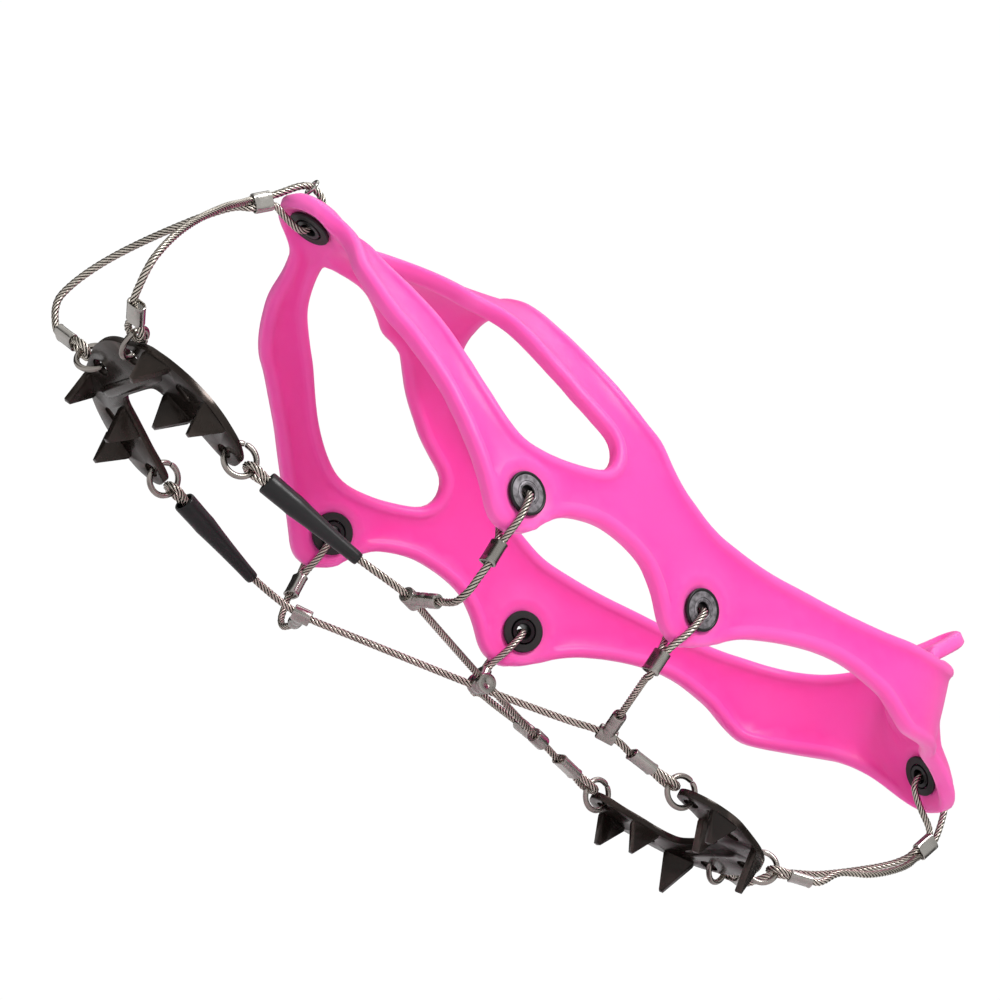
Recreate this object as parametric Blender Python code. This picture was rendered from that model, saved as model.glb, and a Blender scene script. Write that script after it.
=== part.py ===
"""Slip-on ice traction device (microspikes) for a walking shoe, in the worn shape.

World frame, in metres: +X points to the toe, +Y to the outer side of the foot, +Z up, and the
origin is on the top face of the rear plate, on the foot's centre plane.
The dimensions below are in millimetres and are laid out from the back of the heel (x = 0), the
centre plane (y = 0) and the tread under the arch (z = 0); ORIGIN moves them to the world frame.
"""
import bpy
import bmesh
import numpy as np
from math import pi, sin, cos, radians, atan2
from mathutils import Vector
from mathutils.geometry import delaunay_2d_cdt

MM = 0.001
WELD = 0.001 * MM        # vertices closer than this are merged
SIDES = (("outer", 1), ("inner", -1))    # side of the foot, sign of y

# ------------------------------------------------------------------ foot form (mm)
# The harness follows a foot form. A point on it has a station, the length along the foot, and
# a section angle in degrees: 0 is the bottom line, 90 the top centre line.
HEEL_X = 45.0            # axis the heel wraps round
HEEL_ARC = 66.0          # station length of the quarter wrap round the heel
HEEL_END = HEEL_X - HEEL_ARC             # station of the heel centre line
TOP_ANGLE = 90.0
FORM = np.array((
    # station, half width, top, bottom, squareness
    (-21.0, 37.5, 98.0, 0.0, 3.0),
    (0.0, 37.5, 98.0, 0.0, 3.0),
    (45.0, 38.0, 99.0, 0.0, 3.0),
    (80.0, 38.5, 110.0, 0.0, 2.7),
    (110.0, 42.0, 108.0, 0.0, 2.5),
    (135.0, 46.0, 98.0, 0.0, 2.35),
    (155.0, 49.0, 89.0, 0.0, 2.15),
    (175.0, 50.5, 83.0, 1.0, 2.05),
    (200.0, 46.5, 77.5, 6.0, 2.0),
    (215.0, 41.0, 74.0, 10.0, 2.0),
    (230.0, 34.0, 69.0, 15.0, 2.0),
    (245.0, 26.0, 61.0, 20.0, 2.0),
))
FORM_END = FORM[-1, 0]
# Fades are (start, end) of a smooth step
TOE_LIFT = 8.0           # the toe lobe stands off the toe box
TOE_LIFT_STATIONS, TOE_LIFT_ANGLES = (202, 225), (55, 74)
HEEL_FLARE = 0.9         # the heel lobe leans out by this much per mm below HEEL_FLARE_Z
HEEL_FLARE_Z = 57.0
HEEL_FLARE_FADE = (2, 24.0)              # the lean runs out, from the heel centre line
TAB_LEAN, TAB_Z = 1.2, 70.0              # the pull tab leans back above this height
TAB_FADE = (6, 22)

# ------------------------------------------------------------------ harness (mm)
# Thin field, thick rounded bead along every edge, ring boss at each eyelet
FIELD_T = 2.6
BEAD_T = 4.4
EDGE_T = 2.0
PAD_T = 3.0
BEAD_IN = 1.5            # crest of the bead, measured in from the edge
FIELD_IN = 3.8           # where the bead has run out
# Round each eyelet, as radii from its centre: (start, end) of each blend
PAD_BLEND = (5.9, 6.6)                   # pad thickness gives way to the boss
BOSS_RISE, BOSS_FALL = (6.1, 7.3), (8.2, 10.2)
SEAT_BLEND = (6.6, 10.5)                 # flat seat gives way to the foot form

# Outline on one side, as (station, section angle)
LOWER_EDGE = (           # from the toe centre line back to the heel centre line
    (225.8, 90), (225.4, 86), (224.2, 81.8), (221.4, 77.6), (218, 75), (215, 72.5), (213.2, 69),
    (212, 65), (211, 59), (208.4, 52.5), (205.6, 47.5), (202.5, 43.8), (199, 41.2),
    (193.5, 36.8), (187.7, 32.3), (181.6, 27), (174.7, 21), (170.5, 17), (167.6, 14.2),
    (165, 12.9), (161.2, 12.4), (157.8, 12.9), (155.2, 14), (153, 15.6), (150.3, 17.2),
    (147.6, 18), (143, 18.2), (138, 17.9), (133, 17.1), (127.2, 15.8), (122.1, 14.2),
    (118, 12.2), (115, 10.5), (113, 9.2), (110.8, 8.2), (108, 7.6), (104.5, 7.4), (99.8, 8.1),
    (96, 9.1), (92.6, 10.3), (87, 11.7), (81, 12.7), (73, 13.8), (65, 14.8), (59, 15.3),
    (53.6, 15.4), (45, 14.9), (38, 13.6), (31.7, 12.7), (26, 13), (18, 13.8), (8, 14.6),
    (0, 14.9), (-5, 14.8), (-9, 14.3), (-12, 13.6), (-15, 13), (-18, 12.7), (-21, 12.6),
)
UPPER_EDGE = (           # from the heel centre line forward to the top centre line
    (-21, 49), (-18.5, 48), (-16.2, 45), (-14.6, 41), (-12.5, 37.5), (-9, 35.8), (-5, 34.6),
    (-1, 33.4), (6, 31.4), (14, 29.4), (23, 27.8), (32, 26.6), (42.8, 25.3), (53.3, 23.5),
    (63.6, 21.9), (74, 21.1), (87.6, 21.2), (100.2, 22.2), (108, 23.4), (115.4, 25.8),
    (120, 28), (123.6, 30.4), (128.9, 35), (135.4, 39.3), (141, 44), (147.2, 50),
    (150.6, 53.8), (154.2, 58.3), (157.9, 63.6), (160.5, 70), (162, 77), (163, 84), (163.3, 90),
)
SIDE_WINDOW = (          # closed loop
    (206.2, 79.2), (205.6, 74.5), (203.9, 68.5), (201.9, 63.4), (199.6, 59.5), (196.8, 56),
    (193.4, 52.3), (189.8, 48.8), (185.5, 44.2), (180.5, 39.2), (175.5, 35), (171, 31.8),
    (167, 29.6), (162.5, 28.3), (155.8, 27.6), (149.3, 27.2), (143.6, 27), (141.2, 27.5),
    (140, 29), (140.4, 31.3), (142.3, 33.8), (147.5, 37.6), (152.8, 41.5), (156.4, 44.5),
    (160.7, 48.1), (164.1, 51.3), (167, 54.4), (169.9, 57.6), (172.6, 60.4), (176.4, 62.8),
    (181, 64.8), (185, 68.5), (189.4, 72.6), (193.5, 76), (198, 78.4), (203, 80),
)
HEEL_WINDOW_LOW, HEEL_WINDOW_HIGH = 22.8, 33.0   # section angles on the heel centre line
HEEL_WINDOW_HALF = 6.0                           # half length along the wrap
HEEL_WINDOW_POINTS = 7

# Harness mesh
MESH_STEP = 4.2                          # point spacing along the edges
MESH_GRID = 6.5                          # point spacing over the field
EDGE_RINGS = (BEAD_IN, FIELD_IN)         # rows of points at these distances from the edges
PAD_RINGS = (6.0, 7.4, 8.6)              # rings of points round each eyelet
PAD_SIDES = 14
PAD_CLEAR = 9.4                          # edge rows stop this far from an eyelet centre
GRID_CLEAR = 0.45 * MESH_GRID            # from the rows and rings to the field grid
GRID_END = 230                           # station where the field grid ends
CROWDED = 1.1                            # inner points closer than this are thinned out
SMOOTH_BELOW = 70                        # curves with fewer points than this are splined

# ------------------------------------------------------------------ eyelets (mm)
EYELETS = (
    # name, sign of y, station, section angle
    ("toe", 0, 216.5, 90.0), ("heel", 0, HEEL_END, 17.0),
    ("front_outer", 1, 160.6, 19.0), ("front_inner", -1, 160.6, 19.0),
    ("rear_outer", 1, 103.6, 12.1), ("rear_inner", -1, 103.6, 12.1),
)
HALF_EYELETS = ("toe", "heel", "front_outer", "rear_outer")      # those on the modelled half
CENTRE_EYELETS = ("toe", "heel")
EYELET_FLANGE_R, EYELET_BARREL_R, EYELET_BORE_R = 5.2, 3.1, 1.9
EYELET_HOLE_R = 3.45
EYELET_SIDES = 14
FLANGE_T = 0.9
BARREL_EXTRA = 0.2       # the barrel stands this far past the washer
WASHER_EXTRA_R = 0.2     # washer radius over flange radius
GAP = 0.3                # kept between touching pieces

# ------------------------------------------------------------------ plates (mm)
PLATE_T = 1.8
PLATE_HOLE_R, EDGE_HOLE_R = 2.0, 2.35
SLOT_HALF, SLOT_R = 1.2, 1.3
HOLE_SIDES = 14
OUTLINE_STEP = 2.6       # point spacing along the plate outline
TOOTH_T = 1.7
TOOTH_INSET = 0.1        # outer face of a tooth, in from the base line
TOOTH_TOP, TOOTH_SHOULDER = -0.2, -1.6   # heights of a tooth's straight ends
TOOTH_TIP_HALF = 0.5
RIB_R, RIB_HALF_H, RIB_Z = 1.9, 1.35, -0.55
RIB_END_RISE = 0.15      # the rib's axis rises as its section shrinks
RIB_SIDES = 10

# Points on a plate are (forward, outward) from its middle. pos: middle of the sheet; pitch: up
# at the front, degrees. half_outline: one half, front centre round to rear centre.
# teeth: base end points on the edge, tip set along the base from the first end (0..1), height.
# rib: station and half length. edge_pull: (forward, outward, up) pull on the edge hole's ring.
PLATES = {
    "front": dict(
        pos=(223.0, 0.0, 14.0), pitch=24.0,
        half_outline=(
            (30.0, 0), (29.4, 5), (27.4, 10), (25.0, 16.2), (22.6, 19.0), (19.4, 21.8),
            (14.5, 24.8), (9.0, 26.7), (4.5, 27.2), (0.8, 26.8), (-3.0, 25.9), (-6.0, 24.0),
            (-7.7, 22.0), (-8.1, 19.8), (-7.1, 17.5), (-3.8, 16.0), (0.8, 14.8), (5.0, 13.3),
            (9.0, 11.9), (13.0, 10.6), (15.0, 9.0), (15.6, 6.5), (15.7, 0),
        ),
        teeth=(((24.6, 16.5), (19.2, 21.9), 0.45, 7.6), ((5.0, 13.6), (13.0, 10.9), 0.5, 7.6),
               ((8.8, 26.7), (0.8, 26.7), 0.45, 7.6)),
        leg_hole=(-3.8, 19.8), edge_hole=(24.2, 8.6), slot=(12.0, 19.6),
        rib=(18.0, 16.3), edge_pull=(0.617, 0.78, 0.108)),
    "rear": dict(
        pos=(58.5, -2.5, -3.0), pitch=6.0,
        half_outline=(
            (-5.0, 0), (-4.9, 7.5), (-3.6, 10.4), (0.0, 12.6), (5.0, 14.0), (9.5, 15.6),
            (13.5, 16.4), (16.2, 17.6), (17.1, 19.6), (16.4, 22.0), (14.0, 24.2), (10.5, 25.9),
            (6.0, 26.6), (2.4, 26.2), (-1.5, 24.6), (-6.0, 22.4), (-9.5, 20.4), (-13.0, 17.6),
            (-16.0, 14.2), (-18.0, 10.5), (-19.5, 6.0), (-20.0, 0),
        ),
        teeth=(((10.0, 25.9), (2.2, 26.0), 0.4, 7.4), ((-1.0, 12.2), (6.4, 14.6), 0.55, 7.4),
               ((-9.3, 20.3), (-15.4, 14.9), 0.45, 10.0)),
        leg_hole=(12.9, 19.6), edge_hole=(-15.4, 8.0), slot=(-1.5, 18.6),
        rib=(-9.6, 11.0), edge_pull=(-0.90, 0.43, 0.22)),
}
ORIGIN_ON_REAR_PLATE = (-12.5, 2.5)      # where the world origin lies on the plate's top face

# ------------------------------------------------------------------ cables and fittings (mm)
CABLE_R, CABLE_SIDES = 0.85, 7
PAIR = 0.95              # half the distance between the two strands in a ferrule
FERRULE_IN_R, FERRULE_OUT_R = 1.12, 1.5
FERRULE_ARC_POINTS = 5   # points on each rounded end of a ferrule's section
RING_MEAN_R, RING_WIRE_R = 3.9, 0.85
RING_SLIT, RING_SLIT_AT = 0.4, 1.9       # slit width, and its angle in radians from the pull
RING_SEGMENTS, RING_SIDES = 16, 6
EYE_SET = 5.75           # plate hole centre to the wire of the cable eye
EYE_HALF = 2.3
EYE_SEGMENTS = 8

# Distances from a plate hole to the fitting on its cable eye, and fitting lengths
SLEEVE_AT, REAR_FERRULE_AT, EYE_FERRULE_AT = 11.8, 13.4, 11.2
SLEEVE_LEN, REAR_FERRULE_LEN, EYE_FERRULE_LEN = 31.0, 7.0, 5.8
SLEEVE_BODY = SLEEVE_LEN - 3.6           # length of the rubber itself
SLEEVE_START = SLEEVE_AT - 0.2
SLEEVE_PROFILE = (       # radius, length along
    (2.15, 0), (2.7, 0), (2.6, 9.5), (1.55, SLEEVE_BODY - 1.0), (1.5, SLEEVE_BODY),
    (1.15, SLEEVE_BODY), (1.15, 17.0), (2.15, 12.0))
SLEEVE_TAIL = 7.5        # dead end of the front eye, inside the sleeve
FERRULE_TAIL_SHORT = 1.0                 # dead ends stop this far short of the ferrule's end

# Cable web under the foot; points are on the outer side, the inner side mirrors them
CENTRE = (128.0, 0.0, 1.8)
CLAMP_R, CLAMP_HALF, CLAMP_BORE_R = 2.6, 3.0, 1.25
CROSS = 1.05             # each long cable's height above or below the crossing
CROSS_HALF = (6.0, 3.9)  # x and y from the crossing to the ends of the straight run there
OUTER_LIFT = 0.3         # share of CROSS kept at the points beyond that run
FRONT_CABLE_AIM = (182.5, 27.2, 3.7)     # the front leg rings pull towards this
FRONT_TEE_AHEAD, FRONT_TEE_BEHIND = (173.0, 28.2, 2.6), (158.0, 21.35, 1.9)
REAR_TEE_AHEAD = (107.0, 11.7, 1.9)
REAR_TEE_BEHIND = REAR_FERRULE_AT + REAR_FERRULE_LEN + 2.5       # from the plate hole
TEES = {"front": (166.5, 27.4, 2.0), "rear": (99.6, 15.8, 2.0)}
TEE_STRAIGHT = 3.4       # half length of straight cable through a T clamp
TEE_HEAD_R, TEE_HALF, TEE_BORE_R = 1.95, 2.3, 1.2
TEE_OUT_R, TEE_IN_R, TEE_LEN = 1.75, 1.15, 9.0

# Side cables. low, high: ends of the ferrule; aim: where the T stem points; way: T to ferrule
SIDE_CABLES = {
    "front": dict(low=(162.6, 48.6, 11.4), high=(162.0, 49.2, 17.1), aim=(163.2, 38.5, 2.0),
                  way=((163.2, 38.5, 2.0), (163.2, 43.6, 1.8), (163.1, 47.0, 4.2),
                       (162.9, 48.3, 8.0))),
    "rear": dict(low=(108.9, 40.3, 12.6), high=(108.2, 41.3, 18.2), aim=(103.6, 26.4, 6.6),
                 way=((106.4, 33.7, 9.5), (108.3, 38.8, 11.7))),
}
SIDE_REACH = 7.6
# Toe and heel cables. low, high: ends of the ferrule; way: plate to ferrule on the outer side;
# first_shift: added to the first way point's y on both sides; reach, rise, below: eyelet_loop
END_CABLES = {
    "toe": dict(low=(232.2, 0.0, 74.4), high=(228.6, 0.0, 77.6), first_shift=0.0,
                way=((256.8, 26.8, 37.2), (253.4, 23.2, 47.6), (247.3, 15.8, 57.8),
                     (239.5, 7.0, 68.0), (235.2, 2.2, 72.4)),
                loop=dict(reach=7.2, rise=2.2, below=0.4)),
    "heel": dict(low=(-8.2, 0.0, 23.2), high=(-11.0, 0.0, 28.2), first_shift=-0.4,
                 way=((22.0, 13.2, 3.0), (11.5, 11.5, 7.3), (4.2, 9.0, 11.8),
                      (-3.4, 4.4, 17.2), (-6.6, 1.7, 20.8)),
                 loop=dict(reach=7.2, rise=1.1, below=1.3)),
}
END_PLATES = {"toe": "front", "heel": "rear"}
KEEPER_R, KEEPER_WIRE_R = 1.75, 0.42
KEEPER_SEGMENTS, KEEPER_SIDES = 12, 5

# ------------------------------------------------------------------ finishes
PINK_HARNESS = dict(colour=(0.95, 0.08, 0.42, 1.0), roughness=0.45, metallic=0.0)
GREY_METAL = dict(colour=(0.16, 0.16, 0.17, 1.0), roughness=0.35, metallic=0.7)
BLACK_MATT = dict(colour=(0.02, 0.018, 0.017, 1.0), roughness=0.5, metallic=0.0)
BLACK_METAL = dict(colour=(0.02, 0.018, 0.017, 1.0), roughness=0.4, metallic=0.6)
BRIGHT_STEEL = dict(colour=(0.55, 0.55, 0.53, 1.0), roughness=0.3, metallic=0.9)
PRESSED_STEEL = dict(colour=(0.55, 0.55, 0.53, 1.0), roughness=0.35, metallic=0.9)
CABLE_WIRE = dict(colour=(0.50, 0.49, 0.46, 1.0), roughness=0.4, metallic=0.8)
BLACK_RUBBER = dict(colour=(0.012, 0.012, 0.013, 1.0), roughness=0.45, metallic=0.0)


# ------------------------------------------------------------------ vectors and curves
def unit(vector):
    vector = np.array(vector, float)
    return vector / np.linalg.norm(vector)


def square_to(axis, guide):
    """Unit vector at right angles to the unit axis, nearest the guide."""
    return unit(guide - axis * (guide @ axis))


def any_square(axis):
    """Some unit vector at right angles to the unit axis."""
    guide = np.array([0, 0, 1.0]) if abs(axis[2]) < 0.9 else np.array([1.0, 0, 0])
    return square_to(axis, guide)


def mirrored(point, sign):
    """The point carried to the side of the foot with this sign of y."""
    return np.array(point, float) * np.array([1.0, sign, 1.0])


def smoothstep(start, end, x):
    share = np.clip((np.asarray(x, float) - start) / (end - start), 0, 1)
    return share * share * (3 - 2 * share)


def lengths_along(points):
    return np.r_[0, np.cumsum(np.linalg.norm(np.diff(points, axis=0), axis=1))]


def tangents(points, closed):
    if closed:
        along = np.roll(points, -1, 0) - np.roll(points, 1, 0)
    else:
        along = np.gradient(points, axis=0)
    along /= np.linalg.norm(along, axis=1, keepdims=True)
    return along


def catmull(points, step, closed=False):
    """Smooth curve through the points, sampled about every step."""
    knots = [np.array(p, float) for p in points]
    count = len(knots)
    curve = []
    for i in range(count if closed else count - 1):
        p1, p2 = knots[i], knots[(i + 1) % count]
        p0 = knots[i - 1] if (closed or i > 0) else 2 * p1 - p2
        p3 = knots[(i + 2) % count] if (closed or i + 2 < count) else 2 * p2 - p1
        parts = max(1, int(round(np.linalg.norm(p2 - p1) / step)))
        for j in range(parts):
            t = j / parts
            curve.append(0.5 * ((2 * p1) + (p2 - p0) * t
                                + (2 * p0 - 5 * p1 + 4 * p2 - p3) * t * t
                                + (3 * p1 - p0 - 3 * p2 + p3) * t ** 3))
    if not closed:
        curve.append(knots[-1])
    return np.array(curve)


def resample_loop(points, step):
    """Evenly spaced points round a closed flat loop."""
    points = np.vstack([points, points[:1]])
    along = lengths_along(points)
    count = max(3, int(round(along[-1] / step)))
    at = np.linspace(0, along[-1], count + 1)
    return np.stack([np.interp(at, along, points[:, k]) for k in range(2)], 1)[:-1]


def inside(points, polygon):
    """Which of the points lie inside the polygon."""
    x, y = points[:, 0], points[:, 1]
    result = np.zeros(len(points), bool)
    for i in range(len(polygon)):
        x1, y1 = polygon[i]
        x2, y2 = polygon[(i + 1) % len(polygon)]
        if y1 == y2:
            continue
        result ^= ((y1 > y) != (y2 > y)) & (x < (x2 - x1) * (y - y1) / (y2 - y1) + x1)
    return result


def in_sheet(points, loops):
    """Which of the points lie inside the first loop and outside all the others."""
    result = inside(points, loops[0])
    for hole in loops[1:]:
        result &= ~inside(points, hole)
    return result


# ------------------------------------------------------------------ bodies: (vertices, faces)
def join(*bodies):
    verts, faces = [], []
    for body_verts, body_faces in bodies:
        start = len(verts)
        verts += list(body_verts)
        faces += [tuple(i + start for i in face) for face in body_faces]
    return verts, faces


def skin(rings, sides, closed):
    """Faces over a row of rings with equal vertex counts, capped unless closed."""
    faces = []
    for i in range(rings if closed else rings - 1):
        j = (i + 1) % rings
        for k in range(sides):
            m = (k + 1) % sides
            faces.append((i * sides + k, i * sides + m, j * sides + m, j * sides + k))
    if not closed:
        faces.append(tuple(range(sides))[::-1])
        faces.append(tuple((rings - 1) * sides + k for k in range(sides)))
    return faces


def cross_axes(path, closed):
    """Two cross vectors at each point, carried along the path without twist."""
    along = tangents(path, closed)
    first = [any_square(along[0])]
    for direction in along[1:]:
        first.append(square_to(direction, first[-1]))
    carried = square_to(along[0], first[-1])
    first = np.array(first)
    second = np.cross(along, first)
    if closed:                       # spread the closing twist evenly
        twist = atan2(carried @ second[0], carried @ first[0])
        turn = np.arange(len(path))[:, None] / len(path) * -twist
        first, second = (first * np.cos(turn) + second * np.sin(turn),
                         second * np.cos(turn) - first * np.sin(turn))
    return first, second


def tube(path, radius, sides, closed=False):
    """Round bar along a path."""
    path = np.array(path, float)
    first, second = cross_axes(path, closed)
    verts = []
    for i in range(len(path)):
        for k in range(sides):
            angle = 2 * pi * k / sides
            verts.append(path[i] + radius * (cos(angle) * first[i] + sin(angle) * second[i]))
    return verts, skin(len(path), sides, closed)


def lathe(profile, centre, axis, sides):
    """Ring turned about an axis; profile is a closed loop of (radius, along axis)."""
    axis = unit(axis)
    across = any_square(axis)
    other = np.cross(axis, across)
    verts = []
    for k in range(sides):
        angle = 2 * pi * k / sides
        outward = cos(angle) * across + sin(angle) * other
        for radius, along in profile:
            verts.append(centre + radius * outward + along * axis)
    return verts, skin(sides, len(profile), closed=True)


def triangulate(loops, loose, tolerance):
    """Fill the first loop, less the others, with triangles that also use the loose points.

    Returns the flat corners, the triangles, and the input points behind each corner.
    """
    edges, start = [], 0
    for loop in loops:
        count = len(loop)
        edges += [(start + i, start + (i + 1) % count) for i in range(count)]
        start += count
    points = [Vector((float(x), float(y))) for x, y in np.vstack(loops + [loose])]
    corners, _, triangles, sources = delaunay_2d_cdt(points, edges, [], 0, tolerance)[:4]
    corners = np.array([(corner.x, corner.y) for corner in corners])
    triangles = np.array([list(triangle) for triangle in triangles])
    keep = in_sheet(corners[triangles].mean(1), loops)
    return corners, triangles[keep].tolist(), sources


def slab_faces(triangles, count, seam=()):
    """Faces of a sheet with count top vertices, then as many bottom ones.

    Free edges get a wall, except those with both ends on the seam.
    """
    faces, uses = [], {}
    for triangle in triangles:
        faces.append(tuple(triangle))
        faces.append(tuple(count + i for i in triangle[::-1]))
        for i in range(3):
            start, end = triangle[i], triangle[(i + 1) % 3]
            key = (min(start, end), max(start, end))
            uses[key] = uses.get(key, 0) + 1
    for (start, end), number in uses.items():
        if number == 1 and not (start in seam and end in seam):
            faces.append((start, end, count + end, count + start))
    return faces


# ------------------------------------------------------------------ plate frames
class PlateFrame:
    """Local axes of a plate: forward, to the outer side, and up out of the sheet."""

    def __init__(self, pos, pitch):
        pitch = radians(pitch)
        self.middle = np.array(pos, float)
        self.forward = np.array([cos(pitch), 0, sin(pitch)])
        self.outward = np.array([0, 1.0, 0])
        self.up = np.array([-sin(pitch), 0, cos(pitch)])

    def at(self, forward, outward, up=0.0):
        return self.middle + self.direction(forward, outward, up)

    def direction(self, forward, outward, up):
        return forward * self.forward + outward * self.outward + up * self.up


FRAMES = {end: PlateFrame(plate["pos"], plate["pitch"]) for end, plate in PLATES.items()}
ORIGIN = FRAMES["rear"].at(*ORIGIN_ON_REAR_PLATE, PLATE_T / 2)


# ------------------------------------------------------------------ scene objects
def clear_scene():
    for ob in list(bpy.data.objects):
        bpy.data.objects.remove(ob, do_unlink=True)


def make_material(name, colour, roughness, metallic):
    mat = bpy.data.materials.new(name)
    mat.use_nodes = True
    shader = mat.node_tree.nodes["Principled BSDF"]
    shader.inputs["Base Color"].default_value = colour
    shader.inputs["Roughness"].default_value = roughness
    shader.inputs["Metallic"].default_value = metallic
    mat.diffuse_color = colour
    mat.roughness = roughness
    mat.metallic = metallic
    return mat


def add_solid(name, body, finish, origin=(0, 0, 0), smooth=True):
    """One named object; the body is in layout mm, origin is the object's own origin there."""
    verts, faces = body
    origin = np.array(origin, float)
    mesh = bpy.data.meshes.new(name)
    mesh.from_pydata([tuple((np.array(v) - origin) * MM) for v in verts], [], faces)
    bm = bmesh.new()
    bm.from_mesh(mesh)
    bmesh.ops.remove_doubles(bm, verts=bm.verts, dist=WELD)
    bmesh.ops.recalc_face_normals(bm, faces=bm.faces)
    bm.to_mesh(mesh)
    bm.free()
    for polygon in mesh.polygons:
        polygon.use_smooth = smooth
    ob = bpy.data.objects.new(name, mesh)
    ob.location = Vector((origin - ORIGIN) * MM)
    bpy.context.scene.collection.objects.link(ob)
    mesh.materials.append(make_material(name + "_mat", **finish))
    return ob


def add_boolean(ob, name, body, operation):
    """Boolean modifier with a hidden tool body."""
    tool = add_solid(name, body, BLACK_MATT)
    tool.hide_render = True
    tool.display_type = "WIRE"
    modifier = ob.modifiers.new(name, "BOOLEAN")
    modifier.operation = operation
    modifier.solver = "EXACT"
    modifier.object = tool


# ------------------------------------------------------------------ the foot form
def knot_slopes(x, y):
    """Monotone slopes at the knots, so the form has no bulges between stations."""
    width = np.diff(x)
    rate = np.diff(y) / np.diff(x)
    slopes = np.zeros(len(x))
    for i in range(1, len(x) - 1):
        if rate[i - 1] * rate[i] > 0:
            before = 2 * width[i] + width[i - 1]
            after = width[i] + 2 * width[i - 1]
            slopes[i] = (before + after) / (before / rate[i - 1] + after / rate[i])
    slopes[0], slopes[-1] = rate[0], rate[-1]
    return slopes


def form_value(station, column):
    """A column of FORM at any station, by cubic Hermite interpolation."""
    x, y = FORM[:, 0], FORM[:, column]
    slopes = knot_slopes(x, y)
    station = np.clip(np.asarray(station, float), x[0], x[-1])
    i = np.clip(np.searchsorted(x, station, side="right") - 1, 0, len(x) - 2)
    width = x[i + 1] - x[i]
    t = (station - x[i]) / width
    return ((2 * t ** 3 - 3 * t ** 2 + 1) * y[i]
            + (t ** 3 - 2 * t ** 2 + t) * width * slopes[i]
            + (-2 * t ** 3 + 3 * t ** 2) * y[i + 1]
            + (t ** 3 - t ** 2) * width * slopes[i + 1])


def form(station, angle):
    """Middle surface of the harness at a station and section angle."""
    station, angle = np.broadcast_arrays(np.asarray(station, float), np.asarray(angle, float))
    half, top, bottom, squareness = (form_value(station, k) for k in (1, 2, 3, 4))
    theta = np.radians(angle)
    across = np.clip(np.cos(theta), 1e-9, 1) ** (2 / squareness)
    rise = np.clip(np.sin(theta), 1e-9, 1) ** (2 / squareness)
    z = bottom + (top - bottom) * rise
    turn = np.clip((HEEL_X - station) / HEEL_ARC, 0, 1) * pi / 2
    from_end = station - HEEL_END
    below = HEEL_FLARE_Z - z
    # the lean starts as a parabola over the first 4 mm, then is straight
    lean = np.where(below > 4, below - 2, np.where(below > 0, below * below / 8, 0))
    lean = lean * (1 - smoothstep(*HEEL_FLARE_FADE, from_end))
    back = np.maximum(0, z - TAB_Z) * (1 - smoothstep(*TAB_FADE, from_end))
    reach = half * across + HEEL_FLARE * lean + TAB_LEAN * back
    x = np.where(station < HEEL_X, HEEL_X, station) - reach * np.sin(turn)
    y = reach * np.cos(turn)
    z = z + (TOE_LIFT * smoothstep(*TOE_LIFT_STATIONS, station)
             * smoothstep(*TOE_LIFT_ANGLES, angle))
    return np.stack([x, y, z], -1)


def form_at(params):
    """Form points for an array of (station, angle) rows."""
    return form(params[:, 0], params[:, 1])


def normal(station, angle):
    """Outward unit normal of the form."""
    station, angle = np.asarray(station, float), np.asarray(angle, float)
    reach = 0.4
    low, high = np.maximum(angle - reach, 0.05), np.minimum(angle + reach, 89.95)
    back, ahead = np.maximum(station - reach, HEEL_END), station + reach
    along = form(ahead, angle) - form(back, angle)
    upward = form(station, high) - form(station, low)
    result = np.cross(upward, along)
    result = result / np.linalg.norm(result, axis=-1, keepdims=True)
    # on the two lines where the sheet is mirrored, the normal lies in the centre plane
    on_centre = (angle > 89.9) | (station <= HEEL_END + 0.02)
    result[..., 1] = np.where(on_centre, 0.0, result[..., 1])
    return result / np.linalg.norm(result, axis=-1, keepdims=True)


def form_slopes(station, angle):
    """Change of the form point per station mm and per degree, as two columns."""
    reach = 0.2
    by_station = (form(station + reach, angle) - form(station - reach, angle)) / (2 * reach)
    low, high = max(angle - reach, 0.05), min(angle + reach, 89.99)
    by_angle = (form(station, high) - form(station, low)) / (high - low)
    return np.stack([by_station, by_angle], 1)


def nearest_on_form(target, station, angle):
    """Station and angle of the form point nearest the target, from a first guess."""
    for _ in range(12):
        miss = target - form(station, angle)
        step = np.linalg.lstsq(form_slopes(station, angle), miss, rcond=None)[0]
        station = min(max(station + float(np.clip(step[0], -3, 3)), HEEL_END), 244.0)
        angle = min(max(angle + float(np.clip(step[1], -3, 3)), 0.5), TOP_ANGLE)
    return station, angle


# Table of section lengths from the bottom line, by station row and whole degree
GIRTH_ROWS = 133
GIRTH_STATIONS = np.linspace(HEEL_END, FORM_END, GIRTH_ROWS + 1)
GIRTH_ANGLES = np.linspace(0, 90, 91)
GIRTHS = np.array([lengths_along(row)
                   for row in form(GIRTH_STATIONS[:, None], GIRTH_ANGLES[None, :])])


def girth_row(station):
    """Fractional row of the girth table at a station."""
    return (station - HEEL_END) / (FORM_END - HEEL_END) * GIRTH_ROWS


def girth(station, angle):
    """Length along the section from the bottom line."""
    row = np.clip(girth_row(np.asarray(station, float)), 0, GIRTH_ROWS - 0.001)
    column = np.clip(np.asarray(angle, float), 0, 89.999)
    i, j = row.astype(int), column.astype(int)
    u, v = row - i, column - j
    return ((1 - u) * ((1 - v) * GIRTHS[i, j] + v * GIRTHS[i, j + 1])
            + u * ((1 - v) * GIRTHS[i + 1, j] + v * GIRTHS[i + 1, j + 1]))


def lay_flat(params):
    """Flat layout of (station, angle) rows, used for triangulation."""
    return np.stack([params[:, 0], girth(params[:, 0], params[:, 1])], 1)


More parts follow.
